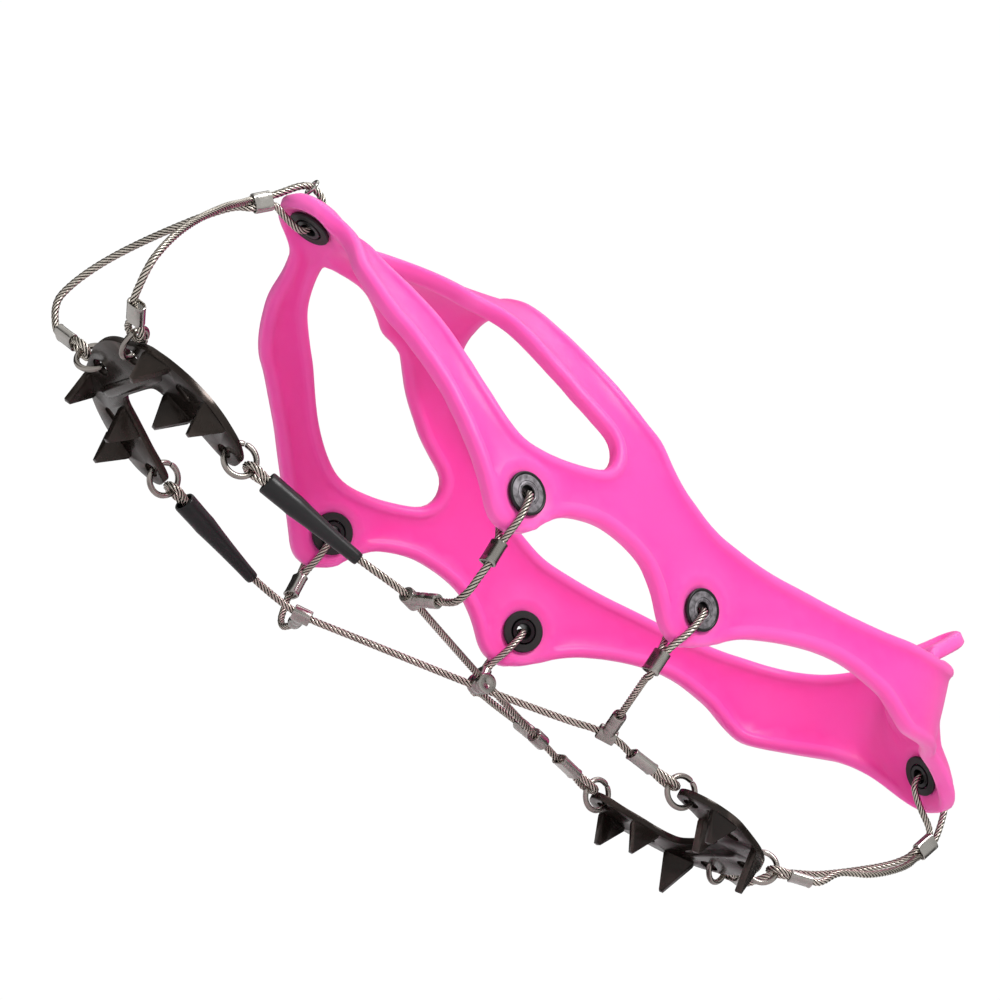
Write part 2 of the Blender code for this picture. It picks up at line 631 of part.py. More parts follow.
def make_eyelet_frames():
    """Centre and outward normal of every eyelet."""
    eyelets = {}
    for name, sign, station, angle in EYELETS:
        centre, outward = form(station, angle), normal(station, angle)
        if sign == 0:
            centre[1] = 0.0
        if sign < 0:
            centre, outward = mirrored(centre, sign), mirrored(outward, sign)
        eyelets[name] = (centre, outward)
    return eyelets


EYELET_FRAMES = make_eyelet_frames()


# ------------------------------------------------------------------ harness
def resample_on_form(curve, step, closed=False):
    """Even spacing in real length along a curve given as (station, angle)."""
    if len(curve) < SMOOTH_BELOW:
        params = catmull(curve, 1.0, closed)
    else:
        params = np.array(curve, float)
    params[:, 1] = np.clip(params[:, 1], 0.5, TOP_ANGLE)
    params[:, 0] = np.maximum(params[:, 0], HEEL_END)
    if closed:
        params = np.vstack([params, params[:1]])
    along = lengths_along(form_at(params))
    keep = np.r_[True, np.diff(along) > 1e-9]
    along, params = along[keep], params[keep]
    count = max(4, int(round(along[-1] / step)))
    at = np.linspace(0, along[-1], count + 1)
    even = np.stack([np.interp(at, along, params[:, k]) for k in range(2)], 1)
    return even[:-1] if closed else even


def offset_curve(curve, distance, closed):
    """Curve on the form moved sideways by a signed distance."""
    sideways = np.cross(normal(curve[:, 0], curve[:, 1]), tangents(form_at(curve), closed))
    moved = []
    for (station, angle), side in zip(curve, sideways):
        step = np.linalg.lstsq(form_slopes(station, angle), side * distance, rcond=None)[0]
        moved.append((station + step[0], angle + step[1]))
    return np.array(moved)


def heel_window():
    """Half an oval cut by the heel centre line, from its low end to its high end."""
    middle = (HEEL_WINDOW_LOW + HEEL_WINDOW_HIGH) / 2
    half_height = (HEEL_WINDOW_HIGH - HEEL_WINDOW_LOW) / 2
    turn = np.linspace(-pi / 2, pi / 2, HEEL_WINDOW_POINTS)
    length = HEEL_WINDOW_HALF * np.cos(turn) ** 0.8 * (1 - 0.18 * np.sin(turn))
    window = np.stack([HEEL_END + length, middle + half_height * np.sin(turn)], 1)
    window[[0, -1], 0] = HEEL_END
    return window


def pad_loops(name):
    """Loops round an eyelet: its hole, then the rings of points outside it."""
    centre, outward = EYELET_FRAMES[name]
    station, angle = [row[2:] for row in EYELETS if row[0] == name][0]
    guide = np.array([1.0, 0, 0]) if abs(outward[0]) < 0.8 else np.array([0, 1.0, 0])
    across = square_to(outward, guide)
    other = np.cross(outward, across)
    on_centre = name in CENTRE_EYELETS
    if on_centre:                   # half loops ending on the centre plane
        outer_side = np.array([0, 1.0, 0])
        base = atan2(outer_side @ other, outer_side @ across)
        half_sides = PAD_SIDES // 2
        turns = [base - pi / 2 + pi * i / half_sides for i in range(half_sides + 1)]
    else:
        turns = [2 * pi * i / PAD_SIDES for i in range(PAD_SIDES)]
    loops = []
    for radius in (EYELET_HOLE_R, *PAD_RINGS):
        loop = []
        for turn in turns:
            target = centre + radius * (cos(turn) * across + sin(turn) * other)
            s, t = nearest_on_form(target, station + 0.5 * radius * cos(turn), angle)
            if on_centre and abs(target[1]) < 1e-6:
                if name == "toe":
                    t = TOP_ANGLE
                else:
                    s = HEEL_END
            loop.append((s, t))
        loops.append(np.array(loop))
    return loops


def centre_line(start, end):
    """Points between two ends on the centre line, with one where an even pad ends."""
    start, end = np.array(start, float), np.array(end, float)
    length = np.linalg.norm(form(*start) - form(*end))
    count = max(1, int(round(length / MESH_STEP)))
    shares = [i / count for i in range(count + 1)]
    fine = np.linspace(0, 1, 201)
    places = form(start[0] + (end[0] - start[0]) * fine, start[1] + (end[1] - start[1]) * fine)
    for name in CENTRE_EYELETS:
        radii = np.linalg.norm(places - EYELET_FRAMES[name][0], axis=1)
        i = int(np.argmin(abs(radii - PAD_BLEND[0])))
        if abs(radii[i] - PAD_BLEND[0]) < 0.2:
            spaced = [t for t in shares[1:-1] if abs(t - fine[i]) * length > 0.3 * MESH_STEP]
            shares = [0.0] + spaced + [fine[i], 1.0]
    return np.array([start + (end - start) * t for t in sorted(shares)])[1:-1]


def harness_outline(lower, upper, window, toe_hole, heel_hole):
    """One loop round the half sheet; window is the heel window."""
    # both half holes run against the direction in which the other pieces meet them
    if toe_hole[0, 0] < toe_hole[-1, 0]:
        toe_hole = toe_hole[::-1]
    if heel_hole[0, 1] > heel_hole[-1, 1]:
        heel_hole = heel_hole[::-1]
    return np.vstack([
        lower, centre_line(lower[-1], heel_hole[0]),
        heel_hole, centre_line(heel_hole[-1], window[0]),
        window, centre_line(window[-1], upper[0]),
        upper, centre_line(upper[-1], toe_hole[-1]),
        toe_hole[::-1], centre_line(toe_hole[0], lower[0])])


def distance_to(points, targets):
    """Distance from each point to the nearest target, in batches to save memory."""
    result = np.empty(len(points))
    for i in range(0, len(points), 400):
        gaps = points[i:i + 400, None, :] - targets[None, :, :]
        result[i:i + 400] = np.linalg.norm(gaps, axis=2).min(1)
    return result


def near_pad(points, radius):
    result = np.zeros(len(points), bool)
    for name in HALF_EYELETS:
        result |= np.linalg.norm(points - EYELET_FRAMES[name][0], axis=1) < radius
    return result


def field_grid():
    """Staggered even grid over the whole form."""
    grid = []
    for i, station in enumerate(np.arange(HEEL_END + MESH_GRID, GRID_END, MESH_GRID)):
        count = int(float(girth(station, TOP_ANGLE)) / MESH_GRID)
        lengths = (np.arange(count) + (0.5 if i % 2 else 0.0)) * MESH_GRID
        row = int(round(girth_row(station)))
        angles = np.interp(lengths, GIRTHS[row], GIRTH_ANGLES)
        grid += [(station, angle) for angle in angles if 1 < angle < 88.8]
    return np.array(grid)


def thin_out(params):
    """Drop points that crowd an earlier one, looking only in the neighbouring cells."""
    points = form_at(params)
    keep, cells = [], {}
    around = [(i, j, k) for i in (-1, 0, 1) for j in (-1, 0, 1) for k in (-1, 0, 1)]
    for index, point in enumerate(points):
        x, y, z = (int(v) for v in point // CROWDED)
        crowded = any(np.linalg.norm(points[other] - point) < CROWDED
                      for i, j, k in around
                      for other in cells.get((x + i, y + j, z + k), ()))
        if not crowded:
            cells.setdefault((x, y, z), []).append(index)
            keep.append(index)
    return params[keep]


def inner_points(edges, edge_points, flat_loops, pad_rings):
    """Points inside the half sheet: rows along the edges, rings round the eyelets, a grid."""
    found = []
    for curve, closed in edges:
        for distance in EDGE_RINGS:
            for sign in (1, -1):
                row = offset_curve(curve, distance * sign, closed)
                row = row[(row[:, 1] < 89.3) & (row[:, 0] > HEEL_END + 0.6)]
                points = form_at(row)
                keep = in_sheet(lay_flat(row), flat_loops)
                keep &= distance_to(points, edge_points) > distance * 0.9
                keep &= ~near_pad(points, PAD_CLEAR)
                found.append(row[keep])
    for ring in pad_rings:
        on_centre = (ring[:, 1] > 89.9) | (ring[:, 0] < HEEL_END + 0.01)
        keep = distance_to(form_at(ring), edge_points) > 1.0
        keep &= inside(lay_flat(ring), flat_loops[0]) & ~on_centre
        found.append(ring[keep])
    grid = field_grid()
    points = form_at(grid)
    keep = in_sheet(lay_flat(grid), flat_loops)
    keep &= distance_to(points, edge_points) > max(EDGE_RINGS) + GRID_CLEAR
    keep &= ~near_pad(points, PAD_RINGS[-1] + GRID_CLEAR)
    found.append(grid[keep])
    return thin_out(np.vstack(found))


def harness_surface(params):
    """Middle surface and normals, with a flat seat at every eyelet."""
    points, normals = form_at(params), normal(params[:, 0], params[:, 1])
    for name in HALF_EYELETS:
        centre, outward = EYELET_FRAMES[name]
        radius = np.linalg.norm(points - centre, axis=-1)
        weight = (1 - smoothstep(*SEAT_BLEND, radius))[..., None]
        points = points - weight * ((points - centre) @ outward)[..., None] * outward
        normals = normals * (1 - weight) + outward * weight
        normals = normals / np.linalg.norm(normals, axis=-1, keepdims=True)
    return points, normals


def half_thickness(from_edge, points):
    """Half the harness thickness, from the distances to the nearest edge and the eyelets."""
    field, bead, edge = FIELD_T / 2, BEAD_T / 2, EDGE_T / 2
    rise = smoothstep(0, BEAD_IN, from_edge)
    fall = smoothstep(BEAD_IN, FIELD_IN, from_edge)
    half = edge + (bead - edge) * np.sqrt(rise) + (field - bead) * fall
    for name in HALF_EYELETS:
        radius = np.linalg.norm(points - EYELET_FRAMES[name][0], axis=-1)
        boss = smoothstep(*BOSS_RISE, radius) * (1 - smoothstep(*BOSS_FALL, radius))
        half = np.maximum(half, field + (BEAD_T - FIELD_T) / 2 * boss)
        pad = 1 - smoothstep(*PAD_BLEND, radius)
        half = half * (1 - pad) + PAD_T / 2 * pad
    return half


def build_harness():
    """Half sheet triangulated flat, carried on to the form, thickened, then mirrored."""
    lower = resample_on_form(LOWER_EDGE, MESH_STEP)
    upper = resample_on_form(UPPER_EDGE, MESH_STEP)
    side_window = resample_on_form(SIDE_WINDOW, MESH_STEP, closed=True)
    back_window = heel_window()
    edges = ((lower, False), (upper, False), (back_window, False), (side_window, True))
    fine = [resample_on_form(curve, 0.5, closed) for curve, closed in edges]
    edge_points = np.vstack([form_at(curve) for curve in fine])

    pads = {name: pad_loops(name) for name in HALF_EYELETS}
    pad_rings = [ring for loops in pads.values() for ring in loops[1:]]
    outline = harness_outline(lower, upper, back_window, pads["toe"][0], pads["heel"][0])
    loops = [outline, side_window, pads["front_outer"][0], pads["rear_outer"][0]]
    flat_loops = [lay_flat(loop) for loop in loops]
    loose = inner_points(edges, edge_points, flat_loops, pad_rings)
    _, triangles, sources = triangulate(flat_loops, lay_flat(loose), 1e-5)
    triangles = [[sources[i][0] for i in triangle] for triangle in triangles]

    params = np.vstack(loops + [loose])
    points, normals = harness_surface(params)
    on_centre = (params[:, 1] > 89.95) | (params[:, 0] < HEEL_END + 0.01)
    points[on_centre, 1] = 0.0
    normals[on_centre, 1] = 0.0
    normals /= np.linalg.norm(normals, axis=1, keepdims=True)
    half = half_thickness(distance_to(form_at(params), edge_points), points)[:, None]
    verts = np.vstack([points + normals * half, points - normals * half])
    faces = slab_faces(triangles, len(params), set(np.flatnonzero(on_centre).tolist()))
    body = join((verts, faces), (mirrored(verts, -1), faces))
    add_solid("harness", body, PINK_HARNESS)


# ------------------------------------------------------------------ eyelets and their washers
def build_eyelet(name):
    """Flanged barrel from the outside and a washer on the inside of the pad."""
    centre, outward = EYELET_FRAMES[name]
    face = PAD_T / 2 + GAP
    barrel_end = -face - FLANGE_T - BARREL_EXTRA
    eyelet = [(EYELET_BORE_R, face + FLANGE_T), (EYELET_FLANGE_R, face + FLANGE_T),
              (EYELET_FLANGE_R, face), (EYELET_BARREL_R, face),
              (EYELET_BARREL_R, barrel_end), (EYELET_BORE_R, barrel_end)]
    bore, rim = EYELET_BARREL_R + GAP, EYELET_FLANGE_R + WASHER_EXTRA_R
    washer = [(bore, -face), (rim, -face), (rim, -face - FLANGE_T), (bore, -face - FLANGE_T)]
    for kind, profile, finish in (("eyelet_", eyelet, GREY_METAL),
                                  ("washer_", washer, BLACK_MATT)):
        body = lathe(profile, centre, outward, EYELET_SIDES)
        add_solid(kind + name, body, finish, origin=centre, smooth=False)


# ------------------------------------------------------------------ spike plates
def sheet(outline, holes, frame):
    """Flat sheet with holes."""
    loops = [np.array(loop) for loop in [outline] + holes]
    corners, triangles, _ = triangulate(loops, np.empty((0, 2)), 1e-6)
    verts = [frame.at(x, y, up) for up in (PLATE_T / 2, -PLATE_T / 2) for x, y in corners]
    return verts, slab_faces(triangles, len(corners))


def tooth(frame, outline, start, end, tip, height):
    """Triangular flap bent straight down from the edge between start and end."""
    start, end = np.array(start, float), np.array(end, float)
    along = unit(end - start)
    inward = np.array([-along[1], along[0]])
    if not inside(((start + end) / 2 + inward * 1.5)[None], outline)[0]:
        inward = -inward
    length = np.linalg.norm(end - start)
    tip_z = -PLATE_T / 2 - height
    profile = [(0, TOOTH_TOP), (0, TOOTH_SHOULDER), (tip * length - TOOTH_TIP_HALF, tip_z),
               (tip * length + TOOTH_TIP_HALF, tip_z), (length, TOOTH_SHOULDER),
               (length, TOOTH_TOP)]
    verts = []
    for depth in (TOOTH_INSET, TOOTH_INSET + TOOTH_T):
        for distance, up in profile:
            place = start + along * distance + inward * depth
            verts.append(frame.at(place[0], place[1], up))
    return verts, skin(2, len(profile), closed=False)


def rib(frame, station, half):
    """Shallow bar across the plate, standing out below the sheet and tapering at its ends."""
    sections = [(-half, 0.3), (-half + 1.6, 0.85), (-half + 4, 1.0),      # outward, scale
                (half - 4, 1.0), (half - 1.6, 0.85), (half, 0.3)]
    verts = []
    for outward, scale in sections:
        for i in range(RIB_SIDES):
            turn = 2 * pi * i / RIB_SIDES
            up = RIB_Z + RIB_END_RISE * (1 - scale) + RIB_HALF_H * scale * sin(turn)
            verts.append(frame.at(station + RIB_R * scale * cos(turn), outward, up))
    return verts, skin(len(sections), RIB_SIDES, closed=False)


def circle(x, y, radius):
    turns = [2 * pi * i / HOLE_SIDES for i in range(HOLE_SIDES)]
    return [(x + radius * cos(turn), y + radius * sin(turn)) for turn in turns]


def slot_loop(x, y):
    """Slot stretched along the plate's forward direction."""
    loop = []
    for i in range(HOLE_SIDES):
        turn = 2 * pi * (i + 0.5) / HOLE_SIDES
        shift = SLOT_HALF if cos(turn) > 0 else -SLOT_HALF
        loop.append((x + shift + SLOT_R * cos(turn), y + SLOT_R * sin(turn)))
    return loop


def build_plate(end):
    plate, frame = PLATES[end], FRAMES[end]
    name = end + "_spike_plate"
    half = plate["half_outline"]
    full = list(half) + [(x, -y) for x, y in half[-2:0:-1]]
    outline = resample_loop(catmull(full, 1.5, closed=True), OUTLINE_STEP)
    leg, edge, slot = plate["leg_hole"], plate["edge_hole"], plate["slot"]
    holes = []
    for _, sign in SIDES:
        holes += [circle(leg[0], sign * leg[1], PLATE_HOLE_R),
                  circle(edge[0], sign * edge[1], EDGE_HOLE_R),
                  slot_loop(slot[0], sign * slot[1])]
    body = sheet(outline, holes, frame)
    ob = add_solid(name, body, BLACK_METAL, origin=frame.at(leg[0], 0), smooth=False)
    teeth = [tooth(frame, outline, (start[0], sign * start[1]), (stop[0], sign * stop[1]),
                   tip, height)
             for start, stop, tip, height in plate["teeth"] for _, sign in SIDES]
    add_boolean(ob, name + "_teeth_tool", join(*teeth), "UNION")
    add_boolean(ob, name + "_rib_tool", rib(frame, *plate["rib"]), "UNION")


# ------------------------------------------------------------------ rings and cable eyes
def make_anchors():
    """For each plate hole that takes a ring: hole centre, unit pull and the plate's up."""
    anchors = {}
    for side, sign in SIDES:
        for end, aim in (("front", FRONT_CABLE_AIM), ("rear", TEES["rear"])):
            frame = FRAMES[end]
            forward, outward = PLATES[end]["leg_hole"]
            hole = frame.at(forward, sign * outward)
            anchors[end + "_" + side] = (hole, unit(mirrored(aim, sign) - hole), frame.up)
    for side, sign in SIDES:
        for end, plate_end in END_PLATES.items():
            frame, plate = FRAMES[plate_end], PLATES[plate_end]
            forward, outward = plate["edge_hole"]
            hole = frame.at(forward, sign * outward)
            pull = unit(frame.direction(*mirrored(plate["edge_pull"], sign)))
            anchors[end + "_" + side] = (hole, pull, frame.up)
    return anchors


ANCHORS = make_anchors()


def build_ring(key):
    """Split ring through a plate hole and a cable eye, in the plane of the pull and up."""
    hole, pull, up = ANCHORS[key]
    rise = square_to(pull, up)
    centre = hole + pull * RING_MEAN_R
    gap = (RING_SLIT / 2) / RING_MEAN_R
    path = []
    for i in range(RING_SEGMENTS + 1):
        turn = RING_SLIT_AT + gap + (2 * pi - 2 * gap) * i / RING_SEGMENTS
        path.append(centre + RING_MEAN_R * (cos(turn) * pull + sin(turn) * rise))
    body = tube(path, RING_WIRE_R, RING_SIDES)
    add_solid("ring_" + key, body, BRIGHT_STEEL, origin=hole + pull * EYE_SET)


def cable_eye(key, start, tail):
    """Cable eye from its dead end round the ring and back, with its pull and cross vectors.

    start is where the strands run side by side, tail the length of dead end beyond it.
    """
    hole, pull, up = ANCHORS[key]
    across = unit(np.cross(pull, up))
    centre = EYE_SET + EYE_HALF
    waist = ((start + centre) / 2 + 0.3, (PAIR + EYE_HALF) / 2 + 0.1)
    path = [(start + tail, -PAIR), (start, -PAIR), (waist[0], -waist[1])]
    for i in range(EYE_SEGMENTS + 1):
        turn = -pi / 2 - pi * i / EYE_SEGMENTS
        path.append((centre + EYE_HALF * cos(turn), EYE_HALF * sin(turn)))
    path += [waist, (start, PAIR)]
    return [hole + pull * x + across * y for x, y in path], pull, across


def build_ferrule(name, start, end, pair_direction):
    """Pressed tube of oval section round two strands."""
    along = unit(end - start)
    pair = square_to(along, pair_direction)
    other = np.cross(along, pair)
    arc = [-pi / 2 + pi * i / (FERRULE_ARC_POINTS - 1) for i in range(FERRULE_ARC_POINTS)]
    verts = []
    for place, radius in ((start, FERRULE_OUT_R), (end, FERRULE_OUT_R),
                          (end, FERRULE_IN_R), (start, FERRULE_IN_R)):
        for sign in (1, -1):
            for turn in arc:
                verts.append(place + sign * pair * (PAIR + radius * cos(turn))
                             + sign * other * radius * sin(turn))
    body = verts, skin(4, 2 * FERRULE_ARC_POINTS, closed=True)
    add_solid(name, body, PRESSED_STEEL, origin=(start + end) / 2, smooth=False)


def build_cable(name, path):
    add_solid(name, tube(path, CABLE_R, CABLE_SIDES), CABLE_WIRE)


def eyelet_loop(name, toward, reach, rise=0.0, below=0.0):
    """Strand that comes up outside the pad, goes in through the eyelet and back down inside."""
    centre, outward = EYELET_FRAMES[name]
    side = square_to(outward, toward - centre)
    profile = [          # sideways from the eyelet's axis, along the axis
        (reach, 4.0 + rise), (2.8, 4.1 + rise), (1.2, 3.9 + rise * 0.6),
        (0.25, 2.9 + rise * 0.2), (0, 1.4), (0, -1.4), (0.25, -2.9),
        (1.2, -3.9 - below * 0.5), (2.6, -4.1 - below), (reach, -4.0 - below)]
    return [centre + side * x + outward * y for x, y in profile]


# ------------------------------------------------------------------ long cables
def tee_run(end, side, sign):
    """Points on the long cable ahead of and behind a T clamp."""
    if end == "front":
        return mirrored(FRONT_TEE_AHEAD, sign), mirrored(FRONT_TEE_BEHIND, sign)
    hole, pull, _ = ANCHORS["rear_" + side]
    return mirrored(REAR_TEE_AHEAD, sign), hole + pull * REAR_TEE_BEHIND


def through_tee(end, side, sign):
    """Straight length of cable inside a T clamp, with the bends kept outside it."""
    ahead, behind = tee_run(end, side, sign)
    direction = unit(ahead - behind)
    at = mirrored(TEES[end], sign)
    return [at + direction * TEE_STRAIGHT, at - direction * TEE_STRAIGHT]


def crossing(sign):
    """Front and rear ends of a long cable's straight run through the centre clamp."""
    x, y, z = CENTRE
    half_x, half_y = CROSS_HALF
    lift = CROSS * sign
    return (np.array([x + half_x, y + sign * half_y, z + lift]),
            np.array([x - half_x, y - sign * half_y, z + lift]))


def build_long_cable(side, sign, other):
    """From the front eye on one side, over the crossing, to the rear eye on the other."""
    hole, _, _ = ANCHORS["front_" + side]
    front, pull, across = cable_eye("front_" + side, SLEEVE_AT, SLEEVE_TAIL)
    rear_hole, _, _ = ANCHORS["rear_" + other]
    rear, rear_pull, rear_across = cable_eye(
        "rear_" + other, REAR_FERRULE_AT, REAR_FERRULE_LEN - FERRULE_TAIL_SHORT)
    lift = np.array([0, 0, OUTER_LIFT * CROSS * sign])
    ferrule_end = REAR_FERRULE_AT + REAR_FERRULE_LEN
    run = [hole + pull * (SLEEVE_AT + 8.0) + across * PAIR,
           hole + pull * (SLEEVE_AT + 14.0) + across * 0.2,
           hole + pull * (SLEEVE_AT + 20),
           hole + pull * (SLEEVE_AT + SLEEVE_LEN - 4),
           *through_tee("front", side, sign),
           mirrored(FRONT_TEE_BEHIND, sign) + lift,
           *crossing(sign),
           mirrored(REAR_TEE_AHEAD, -sign) + lift,
           *through_tee("rear", other, -sign),
           rear_hole + rear_pull * (ferrule_end - 0.5) + rear_across * PAIR]
    build_cable("long_cable_" + side, front + run + rear[::-1])
    start = rear_hole + rear_pull * REAR_FERRULE_AT
    build_ferrule("rear_ferrule_" + other, start, start + rear_pull * REAR_FERRULE_LEN,
                  rear_across)
    # rubber sleeve over the two strands of the front eye, tapering to the single cable
    start = hole + pull * SLEEVE_START
    sleeve = lathe(SLEEVE_PROFILE, start, pull, 12)
    add_solid("sleeve_" + side, sleeve, BLACK_RUBBER, origin=start)


# ------------------------------------------------------------------ crossing clamp and T clamps
def build_centre_clamp():
    """Short round bar across the foot, bored for the two long cables."""
    half = np.array([0, CLAMP_HALF, 0])
    body = tube([CENTRE - half, CENTRE + half], CLAMP_R, 18)
    clamp = add_solid("centre_clamp", body, PRESSED_STEEL, origin=CENTRE, smooth=False)
    for i, (_, sign) in enumerate(SIDES):
        front, rear = crossing(sign)
        extra = (front - rear) * 0.4
        bore = tube([front + extra, rear - extra], CLAMP_BORE_R, 12)
        add_boolean(clamp, "centre_clamp_bore_%d" % (i + 1), bore, "DIFFERENCE")


def build_tee(name, at, ahead, behind, stem):
    """T clamp: short head round the long cable, pressed tube round the side cable."""
    run = unit(behind - ahead)
    head = tube([at - run * TEE_HALF, at + run * TEE_HALF], TEE_HEAD_R, 14)
    ob = add_solid(name, head, PRESSED_STEEL, origin=at, smooth=False)
    add_boolean(ob, name + "_stem_tool",
                tube([at + stem * 0.9, at + stem * TEE_LEN], TEE_OUT_R, 14), "UNION")
    add_boolean(ob, name + "_cable_bore",
                tube([at - run * 5, at + run * 5], TEE_BORE_R, 12), "DIFFERENCE")
    add_boolean(ob, name + "_stem_bore",
                tube([at + stem * 1.9, at + stem * (TEE_LEN + 2)], TEE_IN_R, 12), "DIFFERENCE")


# ------------------------------------------------------------------ side cables
def build_side_cable(end, side, sign):
    """T clamp, cable up through the eyelet and back, and the ferrule that closes the loop."""
    key = end + "_" + side
    cable = SIDE_CABLES[end]
    at = mirrored(TEES[end], sign)
    stem = unit(mirrored(cable["aim"], sign) - at)
    build_tee("t_clamp_" + key, at, *tee_run(end, side, sign), stem)
    low, high = mirrored(cable["low"], sign), mirrored(cable["high"], sign)
    along = unit(high - low)
    pair = square_to(along, EYELET_FRAMES[key][1])
    strand = pair * PAIR
    stem_end = at + stem * (TEE_LEN + 0.6)
    way = [mirrored(point, sign) for point in cable["way"]]
    curve = catmull([stem_end] + way + [low - along * 1.2 + strand], 3.0)
    path = ([at + stem * 2.6] + list(curve)
            + [low + along * 0.8 + strand, high + along * 0.8 + strand]
            + eyelet_loop(key, high, reach=SIDE_REACH)
            + [high + along * 0.8 - strand, low + along * 0.8 - strand])
    build_cable("side_cable_" + key, path)
    build_ferrule("side_ferrule_" + key, low, high, pair)


# ------------------------------------------------------------------ toe and heel cables
def build_end_cable(end):
    """Cable from both edge holes of a plate up to the eyelet; returns its eyelet loop."""
    cable = END_CABLES[end]
    low, high = np.array(cable["low"]), np.array(cable["high"])
    along = unit(high - low)
    pair = square_to(along, EYELET_FRAMES[end][1])
    halves = []
    for side, sign in SIDES:
        key = end + "_" + side
        eye, pull, across = cable_eye(key, EYE_FERRULE_AT, EYE_FERRULE_LEN - FERRULE_TAIL_SHORT)
        start = ANCHORS[key][0] + pull * EYE_FERRULE_AT
        build_ferrule("%s_eye_ferrule_%s" % (end, side), start, start + pull * EYE_FERRULE_LEN,
                      across)
        leaving = start + pull * (EYE_FERRULE_LEN - 0.4) + across * PAIR
        after = start + pull * (EYE_FERRULE_LEN + 2.0) + across * PAIR * 0.7
        way = [mirrored(point, sign) for point in cable["way"]]
        way[0][1] += cable["first_shift"]
        strand = pair * (PAIR * sign)
        curve = catmull([after] + way + [low - along * 0.9 + strand], 7.0)
        halves.append(eye + [leaving] + list(curve)
                      + [low + along * 1.0 + strand, high + along * 0.9 + strand])
    loop = eyelet_loop(end, high, **cable["loop"])
    build_cable(end + "_cable", halves[0] + loop + halves[1][::-1])
    build_ferrule(end + "_ferrule", low, high, pair)
    return loop


def build_keeper_ring(loop):
    """Small closed ring round the first length of the toe cable's eyelet loop."""
    middle = loop[0] * 0.7 + loop[1] * 0.3
    across = np.array([0, 1.0, 0])
    other = np.cross(across, unit(loop[1] - loop[0]))
    path = [middle + KEEPER_R * (cos(turn) * across + sin(turn) * other)
            for turn in np.linspace(0, 2 * pi, KEEPER_SEGMENTS + 1)[:-1]]
    body = tube(path, KEEPER_WIRE_R, KEEPER_SIDES, closed=True)
    add_solid("toe_keeper_ring", body, BRIGHT_STEEL, origin=middle)


# ------------------------------------------------------------------ build
clear_scene()
build_harness()
for eyelet_row in EYELETS:
    build_eyelet(eyelet_row[0])
for plate_name in PLATES:
    build_plate(plate_name)
for anchor_name in ANCHORS:
    build_ring(anchor_name)
build_long_cable("outer", 1, other="inner")
build_long_cable("inner", -1, other="outer")
build_centre_clamp()
for cable_end in SIDE_CABLES:
    for foot_side, y_sign in SIDES:
        build_side_cable(cable_end, foot_side, y_sign)
build_keeper_ring(build_end_cable("toe"))
build_end_cable("heel")
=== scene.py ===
"""Looks for the microspikes: a moulded harness that wraps the foot, with two spike plates
hung below it on twisted cables.

Foot frame, in mm: x runs forward to the toe, y to the outer side, z up, and y = 0 is the centre
plane of the harness. Meshes are moved so that the world origin lies on the rear plate's top face.
"""

import bpy
import bmesh
import numpy as np
from math import pi, sin, cos, radians, atan2
from mathutils import Vector, Matrix
from mathutils.geometry import delaunay_2d_cdt
from mathutils.kdtree import KDTree


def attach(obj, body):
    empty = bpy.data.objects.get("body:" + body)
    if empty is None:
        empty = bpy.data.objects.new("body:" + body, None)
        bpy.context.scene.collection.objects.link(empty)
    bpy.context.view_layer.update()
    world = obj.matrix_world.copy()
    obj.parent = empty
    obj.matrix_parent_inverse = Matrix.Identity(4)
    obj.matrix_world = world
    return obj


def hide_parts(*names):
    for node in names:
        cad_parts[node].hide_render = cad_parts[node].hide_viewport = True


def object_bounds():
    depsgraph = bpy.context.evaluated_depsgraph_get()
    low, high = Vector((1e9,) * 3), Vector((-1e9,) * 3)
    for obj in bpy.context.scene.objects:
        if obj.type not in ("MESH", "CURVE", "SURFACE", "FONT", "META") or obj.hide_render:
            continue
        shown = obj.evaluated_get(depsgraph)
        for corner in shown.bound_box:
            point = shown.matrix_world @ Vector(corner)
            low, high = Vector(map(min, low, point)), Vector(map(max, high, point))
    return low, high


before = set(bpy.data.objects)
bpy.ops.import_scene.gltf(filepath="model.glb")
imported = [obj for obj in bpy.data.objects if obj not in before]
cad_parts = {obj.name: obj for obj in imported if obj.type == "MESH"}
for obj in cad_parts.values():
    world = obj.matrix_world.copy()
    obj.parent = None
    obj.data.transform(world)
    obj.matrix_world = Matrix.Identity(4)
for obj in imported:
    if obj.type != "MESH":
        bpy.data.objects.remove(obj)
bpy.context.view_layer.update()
ROOT = "harness_and_cables"
MM = 0.001
SIDES = (("outer", 1), ("inner", -1))

# ------------------------------------------------------------------ harness dimensions
HEEL_X = 45.0            # axis the heel wraps round
HEEL_ARC = 66.0          # station length of the quarter wrap round the heel
S_END = HEEL_X - HEEL_ARC    # station of the heel centre line
# The foot form the harness is moulded round:
# station, half width, top, bottom, squareness of the section
FORM = np.array((
    (-21.0, 37.5, 98.0, 0.0, 3.0),
    (0.0, 37.5, 98.0, 0.0, 3.0),
    (45.0, 38.0, 99.0, 0.0, 3.0),
    (80.0, 38.5, 110.0, 0.0, 2.7),
    (110.0, 42.0, 108.0, 0.0, 2.5),
    (135.0, 46.0, 98.0, 0.0, 2.35),
    (155.0, 49.0, 89.0, 0.0, 2.15),
    (175.0, 50.5, 83.0, 1.0, 2.05),
    (200.0, 46.5, 77.5, 6.0, 2.0),
    (215.0, 41.0, 74.0, 10.0, 2.0),
    (230.0, 34.0, 69.0, 15.0, 2.0),
    (245.0, 26.0, 61.0, 20.0, 2.0),
))
S_TOE = FORM[-1, 0]
TOE_LIFT = 8.0           # the toe lobe stands off the toe box
HEEL_FLARE = 0.9         # the heel lobe leans out by this much per mm below HEEL_FLARE_Z
HEEL_FLARE_Z = 57.0
HEEL_FLARE_RUN = 24.0    # the lean runs out this far round the heel from the centre line
